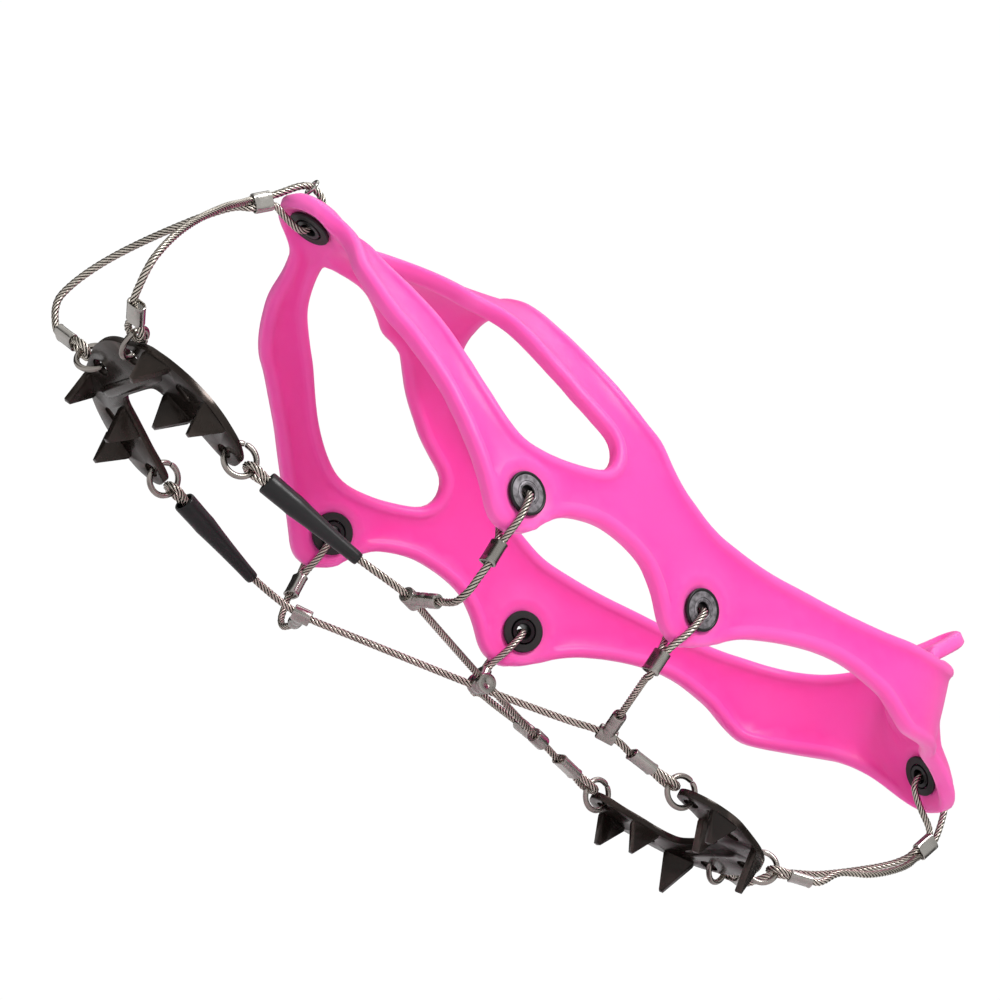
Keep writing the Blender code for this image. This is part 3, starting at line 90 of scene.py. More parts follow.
TAB_LEAN, TAB_Z = 1.2, 70.0   # the pull tab leans back above this height

# Section: thin field, thick rounded bead along every edge, ring boss at each eyelet
FIELD_T = 2.6
BEAD_T = 4.4
PAD_T = 3.0
EDGE_HALF_T = 0.35       # half thickness at the very edge
BEAD_IN = 1.5            # crest of the bead, measured in from the edge
BEAD_FADE = (2.35, 3.35)     # the bead sinks into the field over this distance from the edge
# Radii round each eyelet
SEAT_R = 5.9
SEAT_FADE = (SEAT_R, 6.6)
BOSS_RISE, BOSS_FALL = (6.1, 7.3), (8.2, 10.2)
FLAT_FADE = (6.6, 10.5)      # the flat pad blends into the form
PAD_RINGS = (6.0, 7.4, 8.6)  # mesh rings

# Mesh spacing of the harness
SKIN_STEP = 1.6
EDGE_RINGS = (0.3, 0.8, 1.5, 2.35, 2.85, 3.35)   # distances in from the edge
PAD_SIDES = 40
FIELD_GRID = 3.2

# Harness outline on the outer side, as (station, section angle deg); 90 deg is the centre line
LOWER_EDGE = (
    (225.8, 90), (225.4, 86), (224.2, 81.8), (221.4, 77.6), (218, 75), (215, 72.5), (213.2, 69),
    (212, 65), (211, 59), (208.4, 52.5), (205.6, 47.5), (202.5, 43.8), (199, 41.2),
    (193.5, 36.8), (187.7, 32.3), (181.6, 27), (174.7, 21), (170.5, 17), (167.6, 14.2),
    (165, 12.9), (161.2, 12.4), (157.8, 12.9), (155.2, 14), (153, 15.6), (150.3, 17.2),
    (147.6, 18), (143, 18.2), (138, 17.9), (133, 17.1), (127.2, 15.8), (122.1, 14.2),
    (118, 12.2), (115, 10.5), (113, 9.2), (110.8, 8.2), (108, 7.6), (104.5, 7.4), (99.8, 8.1),
    (96, 9.1), (92.6, 10.3), (87, 11.7), (81, 12.7), (73, 13.8), (65, 14.8), (59, 15.3),
    (53.6, 15.4), (45, 14.9), (38, 13.6), (31.7, 12.7), (26, 13), (18, 13.8), (8, 14.6),
    (0, 14.9), (-5, 14.8), (-9, 14.3), (-12, 13.6), (-15, 13), (-18, 12.7), (-21, 12.6),
)
UPPER_EDGE = (
    (-21, 49), (-18.5, 48), (-16.2, 45), (-14.6, 41), (-12.5, 37.5), (-9, 35.8), (-5, 34.6),
    (-1, 33.4), (6, 31.4), (14, 29.4), (23, 27.8), (32, 26.6), (42.8, 25.3), (53.3, 23.5),
    (63.6, 21.9), (74, 21.1), (87.6, 21.2), (100.2, 22.2), (108, 23.4), (115.4, 25.8),
    (120, 28), (123.6, 30.4), (128.9, 35), (135.4, 39.3), (141, 44), (147.2, 50), (150.6, 53.8),
    (154.2, 58.3), (157.9, 63.6), (160.5, 70), (162, 77), (163, 84), (163.3, 90),
)
SIDE_WINDOW = (
    (206.2, 79.2), (205.6, 74.5), (203.9, 68.5), (201.9, 63.4), (199.6, 59.5), (196.8, 56),
    (193.4, 52.3), (189.8, 48.8), (185.5, 44.2), (180.5, 39.2), (175.5, 35), (171, 31.8),
    (167, 29.6), (162.5, 28.3), (155.8, 27.6), (149.3, 27.2), (143.6, 27), (141.2, 27.5),
    (140, 29), (140.4, 31.3), (142.3, 33.8), (147.5, 37.6), (152.8, 41.5), (156.4, 44.5),
    (160.7, 48.1), (164.1, 51.3), (167, 54.4), (169.9, 57.6), (172.6, 60.4), (176.4, 62.8),
    (181, 64.8), (185, 68.5), (189.4, 72.6), (193.5, 76), (198, 78.4), (203, 80),
)
HEEL_WINDOW_LOW, HEEL_WINDOW_HIGH = 22.8, 33.0   # section angles on the heel centre line
HEEL_WINDOW_HALF = 6.0                           # half length along the wrap

# name: side (0 on the centre line), station, section angle
EYELETS = {
    "toe": (0, 216.5, 90.0), "heel": (0, S_END, 17.0),
    "front_outer": (1, 160.6, 19.0), "front_inner": (-1, 160.6, 19.0),
    "rear_outer": (1, 103.6, 12.1), "rear_inner": (-1, 103.6, 12.1),
}
EYELET_FLANGE_R, EYELET_BARREL_R, EYELET_BORE_R = 5.2, 3.1, 1.9
EYELET_HOLE_R = 3.45
FLANGE_T = 0.9
GAP = 0.3                # kept between touching pieces

# ------------------------------------------------------------------ cable and fitting dimensions
CORE_R = 0.52
STRANDS, STRAND_R, STRAND_AT = 6, 0.315, 0.61    # STRAND_AT: rope axis to strand axis
LAY = 7.4                # length of one turn of the strands
PAIR = 0.95              # half the distance between the two ropes in a ferrule
FERRULE_IN_R, FERRULE_OUT_R, SIDE_FERRULE_OUT_R = 1.12, 1.5, 1.7
SIDE_FERRULE_LEN, END_FERRULE_LEN = 5.8, 7.0
RING_MEAN_R, RING_WIRE_R = 3.9, 0.72
RING_SLIT_ANGLE, RING_SLIT_HALF = 1.9, 0.16      # radians from the pull; mm along the wire
KEEPER_R, KEEPER_WIRE_R = 1.9, 0.41
KEEPER_SHIFT = (-0.27, 0.0, -0.20)               # sits clear of the bend of the rope
EYE_SET = 5.75           # with EYE_HALF, plate hole centre to the centre of the eye's bend
EYE_HALF = 2.3
CLAMP_R, CLAMP_HALF = 2.55, 3.05
TEE_LEN, TEE_HALF = 9.0, 2.3
SLEEVE_LEN = 27.4
# Distance from a plate hole to where the rope's two legs are gripped
SLEEVE_AT, REAR_FERRULE_AT, EYE_FERRULE_AT = 11.8, 13.4, 11.2

# ------------------------------------------------------------------ spike plates
# Local (a, b): a forward in the sheet, b to the outer side. "position" is the middle of the
# sheet, "pitch" lifts the front, "half" is one half of the outline from the front centre round
# to the rear centre. Each tooth has its two base ends on the plate edge, its tip set along the
# base (0..1) and its height. "rib" is its a position and half length.
PLATES = {
    "front": {
        "position": (223.0, 0.0, 14.0),
        "pitch": 24.0,
        "half": (
            (30.0, 0), (29.4, 5), (27.4, 10), (25.0, 16.2), (22.6, 19.0), (19.4, 21.8),
            (14.5, 24.8), (9.0, 26.7), (4.5, 27.2), (0.8, 26.8), (-3.0, 25.9), (-6.0, 24.0),
            (-7.7, 22.0), (-8.1, 19.8), (-7.1, 17.5), (-3.8, 16.0), (0.8, 14.8), (5.0, 13.3),
            (9.0, 11.9), (13.0, 10.6), (15.0, 9.0), (15.6, 6.5), (15.7, 0),
        ),
        "teeth": (((24.6, 16.5), (19.2, 21.9), 0.45, 7.6), ((5.0, 13.6), (13.0, 10.9), 0.5, 7.6),
                  ((8.8, 26.7), (0.8, 26.7), 0.45, 7.6)),
        "leg_hole": (-3.8, 19.8),
        "edge_hole": (24.2, 8.6),
        "slot": (12.0, 19.6),
        "rib": (18.0, 16.3),
        "edge_pull": (0.617, 0.78, 0.108),
    },
    "rear": {
        "position": (58.5, -2.5, -3.0),
        "pitch": 6.0,
        "half": (
            (-5.0, 0), (-4.9, 7.5), (-3.6, 10.4), (0.0, 12.6), (5.0, 14.0), (9.5, 15.6),
            (13.5, 16.4), (16.2, 17.6), (17.1, 19.6), (16.4, 22.0), (14.0, 24.2), (10.5, 25.9),
            (6.0, 26.6), (2.4, 26.2), (-1.5, 24.6), (-6.0, 22.4), (-9.5, 20.4), (-13.0, 17.6),
            (-16.0, 14.2), (-18.0, 10.5), (-19.5, 6.0), (-20.0, 0),
        ),
        "teeth": (((10.0, 25.9), (2.2, 26.0), 0.4, 7.4), ((-1.0, 12.2), (6.4, 14.6), 0.55, 7.4),
                  ((-9.3, 20.3), (-15.4, 14.9), 0.45, 10.0)),
        "leg_hole": (12.9, 19.6),
        "edge_hole": (-15.4, 8.0),
        "slot": (-1.5, 18.6),
        "rib": (-9.6, 11.0),
        "edge_pull": (-0.90, 0.43, 0.22),
    },
}
PLATE_T = 1.8
TOOTH_T = 1.7
PLATE_HOLE_R, EDGE_HOLE_R = 2.0, 2.35
SLOT_HALF, SLOT_R = 1.2, 1.3
RIB_R = 1.9
ORIGIN_ON_REAR_PLATE = (-12.5, 2.5)

# ------------------------------------------------------------------ cable web (outer side)
CENTRE = (128.0, 0.0, 1.8)       # where the two long cables cross
CROSS = 1.05                     # each long cable's height above or below the crossing
CROSS_REACH, CROSS_SPREAD = 6.0, 3.9     # long cable point beside the crossing, along x and y
TEES = {"front": (166.5, 27.4, 2.0), "rear": (99.6, 15.8, 2.0)}
FRONT_AHEAD = (173.0, 28.2, 2.6)         # long cable just ahead of the front T clamp
FRONT_BEHIND = (158.0, 21.35, 1.9)
REAR_AHEAD = (107.0, 11.7, 1.9)          # long cable just ahead of the rear T clamp
LEG_AIMS = {"front": (182.5, 27.2, 3.7), "rear": TEES["rear"]}

# Side cables: point the T's stem aims at, way points, lower and upper end of the ferrule
SIDE_CABLES = {
    "front": ((163.2, 38.5, 2.0),
              ((163.2, 38.5, 2.0), (163.2, 43.6, 1.8), (163.1, 47.0, 4.2), (162.9, 48.3, 8.0)),
              (162.6, 48.6, 11.4), (162.0, 49.2, 17.1)),
    "rear": ((103.6, 26.4, 6.6), ((106.4, 33.7, 9.5), (108.3, 38.8, 11.7)),
             (108.9, 40.3, 12.6), (108.2, 41.3, 18.2)),
}
# Toe and heel cables: ferrule ends, way points up from the plate, sideways shift of the first
# one on both sides, and how far the rope bows off the pad on its outer and inner face
END_CABLES = {
    "toe": {
        "low": (232.2, 0.0, 74.4), "high": (228.6, 0.0, 77.6),
        "way": ((256.8, 26.8, 37.2), (253.4, 23.2, 47.6), (247.3, 15.8, 57.8),
                (239.5, 7.0, 68.0), (235.2, 2.2, 72.4)),
        "shift": 0.0, "rise": 2.2, "below": 0.4,
    },
    "heel": {
        "low": (-8.2, 0.0, 23.2), "high": (-11.0, 0.0, 28.2),
        "way": ((22.0, 13.2, 3.0), (11.5, 11.5, 7.3), (4.2, 9.0, 11.8),
                (-3.4, 4.4, 17.2), (-6.6, 1.7, 20.8)),
        "shift": -0.4, "rise": 1.1, "below": 1.3,
    },
}


# ------------------------------------------------------------------ vectors and curves
def unit(vector):
    vector = np.array(vector, float)
    return vector / np.linalg.norm(vector)


def on_side(point, sign):
    """The point on the outer (1) or inner (-1) side."""
    return np.array(point, float) * [1, sign, 1]


def smoothstep(low, high, x):
    t = np.clip((np.asarray(x, float) - low) / (high - low), 0, 1)
    return t * t * (3 - 2 * t)


def arc_length(points):
    return np.r_[0, np.cumsum(np.linalg.norm(np.diff(points, axis=0), axis=1))]


def catmull(points, step, closed=False):
    """Smooth curve through the points, sampled about every step."""
    points = [np.array(p, float) for p in points]
    count = len(points)
    out = []
    for i in range(count if closed else count - 1):
        p1, p2 = points[i], points[(i + 1) % count]
        p0 = points[i - 1] if (closed or i > 0) else 2 * p1 - p2
        p3 = points[(i + 2) % count] if (closed or i + 2 < count) else 2 * p2 - p1
        pieces = max(1, int(round(np.linalg.norm(p2 - p1) / step)))
        for j in range(pieces):
            t = j / pieces
            out.append(0.5 * ((2 * p1) + (p2 - p0) * t + (2 * p0 - 5 * p1 + 4 * p2 - p3) * t * t
                              + (3 * p1 - p0 - 3 * p2 + p3) * t ** 3))
    if not closed:
        out.append(points[-1])
    return np.array(out)


def resample(points, step, closed=False):
    """Even spacing along a polyline."""
    points = np.array(points, float)
    if closed:
        points = np.vstack([points, points[:1]])
    length = arc_length(points)
    count = max(3 if closed else 2, int(round(length[-1] / step)))
    at = np.linspace(0, length[-1], count + 1)
    out = np.stack([np.interp(at, length, column) for column in points.T], 1)
    return out[:-1] if closed else out


def chaikin(points, times):
    """Round the corners of an open polyline by cutting them."""
    points = np.array(points, float)
    for _ in range(times):
        cut = np.empty((2 * len(points) - 2, 3))
        cut[0::2] = points[:-1] * 0.75 + points[1:] * 0.25
        cut[1::2] = points[:-1] * 0.25 + points[1:] * 0.75
        points = np.vstack([points[:1], cut, points[-1:]])
    return points


def inside(points, polygon):
    """Which of the points lie inside the polygon."""
    x, y = points[:, 0], points[:, 1]
    result = np.zeros(len(points), bool)
    for (x1, y1), (x2, y2) in zip(polygon, np.roll(polygon, -1, 0)):
        if y1 != y2:
            crosses = (y1 > y) != (y2 > y)
            result ^= crosses & (x < (x2 - x1) * (y - y1) / (y2 - y1) + x1)
    return result


def cross_axes(axis):
    """Two unit vectors square to a unit axis."""
    start = np.array([0, 0, 1.0]) if abs(axis[2]) < 0.9 else np.array([1.0, 0, 0])
    u = unit(start - axis * (start @ axis))
    return u, np.cross(axis, u)


def frames(path, closed=False):
    """Two cross vectors at each point, carried along the path without twist."""
    if closed:
        tangent = np.roll(path, -1, 0) - np.roll(path, 1, 0)
    else:
        tangent = np.gradient(path, axis=0)
    tangent /= np.linalg.norm(tangent, axis=1, keepdims=True)
    u = [cross_axes(tangent[0])[0]]
    for along in tangent[1:]:
        u.append(unit(u[-1] - along * (u[-1] @ along)))
    u = np.array(u)
    v = np.cross(tangent, u)
    if closed:                       # spread the closing twist evenly
        last = u[-1] - tangent[0] * (u[-1] @ tangent[0])
        twist = atan2(last @ v[0], last @ u[0])
        turn = np.arange(len(path))[:, None] / len(path) * -twist
        u, v = u * np.cos(turn) + v * np.sin(turn), v * np.cos(turn) - u * np.sin(turn)
    return u, v


# ------------------------------------------------------------------ solids: (vertices, faces)
def loft(rings, closed=False):
    """Skin over equal rings of points, capped at both ends or closed on itself."""
    count, size = len(rings), len(rings[0])
    faces = []
    for i in range(count if closed else count - 1):
        j = (i + 1) % count
        for k in range(size):
            m = (k + 1) % size
            faces.append((i * size + k, i * size + m, j * size + m, j * size + k))
    if not closed:
        faces.append(tuple(range(size))[::-1])
        faces.append(tuple((count - 1) * size + k for k in range(size)))
    return [p for ring in rings for p in ring], faces


def tube(path, radius, sides, closed=False):
    """Round bar along a path; radius may be one number or one per point."""
    path = np.array(path, float)
    radii = np.broadcast_to(np.asarray(radius, float), (len(path),))
    angles = [2 * pi * k / sides for k in range(sides)]
    u, v = frames(path, closed)
    return loft([[p + r * (cos(a) * pu + sin(a) * pv) for a in angles]
                 for p, r, pu, pv in zip(path, radii, u, v)], closed)


def lathe(profile, centre, axis, sides):
    """Turned solid; profile is a closed loop of (radius, along axis)."""
    axis = unit(axis)
    u, v = cross_axes(axis)
    sections = []
    for k in range(sides):
        turn = 2 * pi * k / sides
        out = cos(turn) * u + sin(turn) * v
        sections.append([centre + r * out + h * axis for r, h in profile])
    return loft(sections, closed=True)


def turned_bar(start, end, profile, sides=36):
    """Turned bar from start to end; profile is (share along, radius)."""
    u, v = cross_axes(unit(end - start))
    angles = [2 * pi * i / sides for i in range(sides)]
    return loft([[start + (end - start) * share + r * (cos(a) * u + sin(a) * v) for a in angles]
                 for share, r in profile])


def join(*parts):
    verts, faces = [], []
    for part_verts, part_faces in parts:
        base = len(verts)
        verts += list(part_verts)
        faces += [tuple(i + base for i in face) for face in part_faces]
    return verts, faces


def triangulate(outline, holes, free, tolerance):
    """Corners, their source indices, and the triangles inside the outline and off the holes."""
    edges, start = [], 0
    for loop in [outline] + holes:
        size = len(loop)
        edges += [(start + i, start + (i + 1) % size) for i in range(size)]
        start += size
    points = [Vector((float(x), float(y))) for x, y in np.vstack([outline] + holes + free)]
    result = delaunay_2d_cdt(points, edges, [], 0, tolerance)
    corners = np.array([(v.x, v.y) for v in result[0]])
    triangles = np.array([list(f) for f in result[2]])
    middle = corners[triangles].mean(1)
    keep = inside(middle, outline)
    for hole in holes:
        keep &= ~inside(middle, hole)
    return corners, result[3], triangles[keep].tolist()


def border_edges(triangles):
    """Edges used by one triangle only, in order of first use."""
    uses = {}
    for a, b, c in triangles:
        for edge in ((a, b), (b, c), (c, a)):
            key = (min(edge), max(edge))
            uses[key] = uses.get(key, 0) + 1
    return [edge for edge, count in uses.items() if count == 1]


# ------------------------------------------------------------------ the foot form
def monotone_slopes(x, y):
    """Slopes at the knots that keep the form from bulging between stations."""
    step, rise = np.diff(x), np.diff(y) / np.diff(x)
    slopes = np.zeros(len(x))
    for i in range(1, len(x) - 1):
        if rise[i - 1] * rise[i] > 0:
            w1, w2 = 2 * step[i] + step[i - 1], step[i] + 2 * step[i - 1]
            slopes[i] = (w1 + w2) / (w1 / rise[i - 1] + w2 / rise[i])
    slopes[0], slopes[-1] = rise[0], rise[-1]
    return slopes


def form_value(station, column):
    """One column of FORM, interpolated at the station."""
    x, y = FORM[:, 0], FORM[:, column]
    m = monotone_slopes(x, y)
    station = np.clip(np.asarray(station, float), x[0], x[-1])
    i = np.clip(np.searchsorted(x, station, side="right") - 1, 0, len(x) - 2)
    h = x[i + 1] - x[i]
    t = (station - x[i]) / h
    return ((2 * t ** 3 - 3 * t ** 2 + 1) * y[i] + (t ** 3 - 2 * t ** 2 + t) * h * m[i]
            + (-2 * t ** 3 + 3 * t ** 2) * y[i + 1] + (t ** 3 - t ** 2) * h * m[i + 1])


def form(station, angle):
    """Middle surface of the harness at a station and section angle (deg)."""
    station, angle = np.broadcast_arrays(np.asarray(station, float), np.asarray(angle, float))
    half, top, bottom, square = (form_value(station, k) for k in (1, 2, 3, 4))
    turn = np.radians(angle)
    width = np.clip(np.cos(turn), 1e-9, 1) ** (2 / square)
    height = np.clip(np.sin(turn), 1e-9, 1) ** (2 / square)
    z = bottom + (top - bottom) * height
    wrap = np.clip((HEEL_X - station) / HEEL_ARC, 0, 1) * pi / 2
    drop = HEEL_FLARE_Z - z
    round_heel = station - S_END
    lean = (np.where(drop > 4, drop - 2, np.where(drop > 0, drop * drop / 8, 0))
            * (1 - smoothstep(2, HEEL_FLARE_RUN, round_heel)))
    back = np.maximum(0, z - TAB_Z) * (1 - smoothstep(6, 22, round_heel))
    reach = half * width + HEEL_FLARE * lean + TAB_LEAN * back
    x = np.where(station < HEEL_X, HEEL_X, station) - reach * np.sin(wrap)
    y = reach * np.cos(wrap)
    z = z + TOE_LIFT * smoothstep(202, 225, station) * smoothstep(55, 74, angle)
    return np.stack([x, y, z], -1)


def on_form(curve):
    return form(curve[:, 0], curve[:, 1])


def normal(station, angle):
    """Outward unit normal of the form."""
    station, angle = np.asarray(station, float), np.asarray(angle, float)
    d = 0.4
    low, high = np.maximum(angle - d, 0.05), np.minimum(angle + d, 89.95)
    along = form(station + d, angle) - form(np.maximum(station - d, S_END), angle)
    up = form(station, high) - form(station, low)
    n = np.cross(up, along)
    n = n / np.linalg.norm(n, axis=-1, keepdims=True)
    # on the plane the sheet is mirrored across, the normal lies in the plane
    n[..., 1] = np.where((angle > 89.9) | (station <= S_END + 0.02), 0.0, n[..., 1])
    return n / np.linalg.norm(n, axis=-1, keepdims=True)


def gradients(station, angle):
    """Change of the form per mm of station and per degree of angle."""
    d = 0.2
    by_station = (form(station + d, angle) - form(station - d, angle)) / 0.4
    low, high = np.maximum(angle - d, 0.05), np.minimum(angle + d, 89.99)
    by_angle = (form(station, high) - form(station, low)) / np.expand_dims(high - low, -1)
    return by_station, by_angle


def solve_param(target, station, angle):
    """Station and angle whose form point is nearest the target, from a first guess."""
    for _ in range(12):
        jacobian = np.stack(gradients(station, angle), 1)
        d, *_ = np.linalg.lstsq(jacobian, target - form(station, angle), rcond=None)
        station = min(max(station + float(np.clip(d[0], -3, 3)), S_END), S_TOE - 1)
        angle = min(max(angle + float(np.clip(d[1], -3, 3)), 0.5), 90.0)
    return station, angle


def find_eyelet_frame(side, station, angle):
    """Centre of an eyelet on the form and its outward normal."""
    centre, axis = form(station, angle), normal(station, angle)
    if side == 0:
        centre[1] = 0.0
    if side < 0:
        centre, axis = on_side(centre, -1), on_side(axis, -1)
    return centre, axis


EYELET_FRAMES = {name: find_eyelet_frame(*place) for name, place in EYELETS.items()}
HALF_EYELETS = [name for name, place in EYELETS.items() if place[0] >= 0]


def harness_point(station, angle):
    """Middle surface and normal, with a flat pad at every eyelet."""
    points, normals = form(station, angle), normal(station, angle)
    for name in HALF_EYELETS:
        centre, axis = EYELET_FRAMES[name]
        w = (1 - smoothstep(*FLAT_FADE, np.linalg.norm(points - centre, axis=-1)))[..., None]
        points = points - w * ((points - centre) @ axis)[..., None] * axis
        normals = normals * (1 - w) + axis * w
        normals = normals / np.linalg.norm(normals, axis=-1, keepdims=True)
    return points, normals


# Length along the section from the bottom line, on a grid of stations and angles
ROWS = 133
GIRTH_STATIONS = np.linspace(S_END, S_TOE, ROWS + 1)
GIRTH_ANGLES = np.linspace(0, 90, 91)
GIRTH_POINTS = form(GIRTH_STATIONS[:, None], GIRTH_ANGLES[None, :])
GIRTHS = np.concatenate([
    np.zeros((ROWS + 1, 1)),
    np.cumsum(np.linalg.norm(np.diff(GIRTH_POINTS, axis=1), axis=2), axis=1)], 1)


def girth(station, angle):
    """Length along the section from the bottom line."""
    station, angle = np.asarray(station, float), np.asarray(angle, float)
    i = np.clip((station - S_END) / (S_TOE - S_END) * ROWS, 0, ROWS - 0.001)
    j = np.clip(angle, 0, 89.999)
    i0, j0 = i.astype(int), j.astype(int)
    fi, fj = i - i0, j - j0
    return ((1 - fi) * ((1 - fj) * GIRTHS[i0, j0] + fj * GIRTHS[i0, j0 + 1])
            + fi * ((1 - fj) * GIRTHS[i0 + 1, j0] + fj * GIRTHS[i0 + 1, j0 + 1]))


def flatten(curve):
    """A (station, angle) curve laid out flat, close to real lengths."""
    return np.stack([curve[:, 0], girth(curve[:, 0], curve[:, 1])], 1)


# ------------------------------------------------------------------ harness mesh
def resample_param(curve, step, closed=False):
    """Even spacing in real length along a (station, angle) curve."""
    # a long curve is already dense; a short one is smoothed first
    curve = catmull(curve, 1.0, closed) if len(curve) < 70 else np.array(curve, float)
    curve[:, 1] = np.clip(curve[:, 1], 0.5, 90.0)
    curve[:, 0] = np.maximum(curve[:, 0], S_END)
    points = on_form(curve)
    if closed:
        curve, points = np.vstack([curve, curve[:1]]), np.vstack([points, points[:1]])
    length = arc_length(points)
    keep = np.r_[True, np.diff(length) > 1e-9]
    length, curve = length[keep], curve[keep]
    at = np.linspace(0, length[-1], max(4, int(round(length[-1] / step))) + 1)
    out = np.stack([np.interp(at, length, column) for column in curve.T], 1)
    return out[:-1] if closed else out


def offset_curve(curve, distance, closed):
    """Curve on the form moved sideways by the distance; its sign picks the side."""
    station, angle = curve[:, 0], curve[:, 1]
    points = on_form(curve)
    if closed:
        tangent = np.roll(points, -1, 0) - np.roll(points, 1, 0)
    else:
        tangent = np.gradient(points, axis=0)
    tangent /= np.linalg.norm(tangent, axis=1, keepdims=True)
    move = np.cross(normal(station, angle), tangent) * distance
    js, jt = gradients(station, angle)
    a, b, c = (js * js).sum(1), (js * jt).sum(1), (jt * jt).sum(1)
    p, q = (js * move).sum(1), (jt * move).sum(1)
    det = a * c - b * b
    return np.stack([station + (c * p - b * q) / det, angle + (a * q - b * p) / det], 1)


def heel_window_edge():
    """Half an oval cut by the heel centre line."""
    middle = (HEEL_WINDOW_LOW + HEEL_WINDOW_HIGH) / 2
    half = (HEEL_WINDOW_HIGH - HEEL_WINDOW_LOW) / 2
    turn = np.linspace(-pi / 2, pi / 2, max(7, int(round(26 / SKIN_STEP))))
    taper = 1 - 0.18 * np.sin(turn)
    edge = np.stack([S_END + HEEL_WINDOW_HALF * np.cos(turn) ** 0.8 * taper,
                     middle + half * np.sin(turn)], 1)
    edge[[0, -1], 0] = S_END
    return edge


def pad_loops(name):
    """Eyelet hole and the rings round it; half rings where the mirror plane cuts the eyelet."""
    centre, axis = EYELET_FRAMES[name]
    side, station, angle = EYELETS[name]
    start = np.array([1.0, 0, 0]) if abs(axis[0]) < 0.8 else np.array([0, 1.0, 0])
    u = unit(start - axis * (start @ axis))
    v = np.cross(axis, u)
    if side:
        turns = [2 * pi * i / PAD_SIDES for i in range(PAD_SIDES)]
    else:
        base, half = atan2(v[1], u[1]), PAD_SIDES // 2
        turns = [base - pi / 2 + pi * i / half for i in range(half + 1)]
    loops = []
    for r in (EYELET_HOLE_R, *PAD_RINGS):
        loop = []
        for turn in turns:
            point = centre + r * (cos(turn) * u + sin(turn) * v)
            s, t = solve_param(point, station + 0.5 * r * cos(turn), angle)
            if side == 0 and abs(point[1]) < 1e-6:
                s, t = (s, 90.0) if name == "toe" else (S_END, t)
            loop.append((s, t))
        loops.append(np.array(loop))
    return loops


def centre_run(start, end):
    """Points between two on the centre line, with one where an eyelet's flat seat ends."""
    length = np.linalg.norm(form(*start) - form(*end))
    pieces = max(1, int(round(length / SKIN_STEP)))
    shares = [i / pieces for i in range(pieces + 1)]
    fine = np.linspace(0, 1, 201)
    points = form(start[0] + (end[0] - start[0]) * fine, start[1] + (end[1] - start[1]) * fine)
    for name in ("toe", "heel"):
        r = np.linalg.norm(points - EYELET_FRAMES[name][0], axis=1)
        i = int(np.argmin(abs(r - SEAT_R)))
        if abs(r[i] - SEAT_R) < 0.2:
            clear = [t for t in shares[1:-1] if abs(t - fine[i]) * length > 0.3 * SKIN_STEP]
            shares = [0.0] + clear + [fine[i], 1.0]
    return np.array([start + (end - start) * t for t in sorted(shares)])[1:-1]


def edge_distance(points, edge_points):
    """Distance from each point to the nearest edge point, worked out in blocks."""
    out = np.empty(len(points))
    for i in range(0, len(points), 400):
        gaps = points[i:i + 400, None, :] - edge_points[None]
        out[i:i + 400] = np.linalg.norm(gaps, axis=2).min(1)
    return out


def near_pad(points, radius):
    near = np.zeros(len(points), bool)
    for name in HALF_EYELETS:
        near |= np.linalg.norm(points - EYELET_FRAMES[name][0], axis=1) < radius
    return near


def grid_points():
    """Staggered even grid over the form."""
    out = []
    for i, station in enumerate(np.arange(S_END + FIELD_GRID, 230, FIELD_GRID)):
        count = int(float(girth(station, 90.0)) / FIELD_GRID)
        row = GIRTHS[int(round((station - S_END) / (S_TOE - S_END) * ROWS))]
        at = (np.arange(count) + (0.5 if i % 2 else 0.0)) * FIELD_GRID
        out += [(station, t) for t in np.interp(at, row, GIRTH_ANGLES) if 1 < t < 88.8]
    return np.array(out)


def thin_out(params, tolerance=0.42):
    """Drop points that crowd an earlier one."""
    points = on_form(params)
    tree = KDTree(len(points))
    for i, point in enumerate(points):
        tree.insert(point, i)
    tree.balance()
    gone = np.zeros(len(points), bool)
    keep = []
    for i, point in enumerate(points):
        if gone[i]:
            continue
        keep.append(i)
        for _, j, _ in tree.find_range(point, tolerance):
            if j > i:
                gone[j] = True
    return params[keep]


def free_points(edges, edge_points, rings, outline, holes):
    """Mesh points inside the sheet: edge rings, pad rings and the field grid."""
    def in_sheet(params):
        flat = flatten(params)
        ok = inside(flat, outline)
        for hole in holes:
            ok &= ~inside(flat, hole)
        return ok

    free = []
    for edge, closed in edges:
        for distance in EDGE_RINGS:
            for sign in (1, -1):
                params = offset_curve(edge, sign * distance, closed)
                params = params[(params[:, 1] < 89.3) & (params[:, 0] > S_END + 0.6)]
                points = on_form(params)
                ok = in_sheet(params) & (edge_distance(points, edge_points) > distance * 0.9)
                free.append(params[ok & ~near_pad(points, 9.4)])
    for params in rings:
        on_line = (params[:, 1] > 89.9) | (params[:, 0] < S_END + 0.01)
        ok = edge_distance(on_form(params), edge_points) > 1.0
        free.append(params[ok & inside(flatten(params), outline) & ~on_line])
    params = grid_points()
    points = on_form(params)
    margin = 0.45 * FIELD_GRID
    ok = in_sheet(params) & (edge_distance(points, edge_points) > max(EDGE_RINGS) + margin)
    free.append(params[ok & ~near_pad(points, PAD_RINGS[-1] + margin)])
    return thin_out(np.vstack(free))


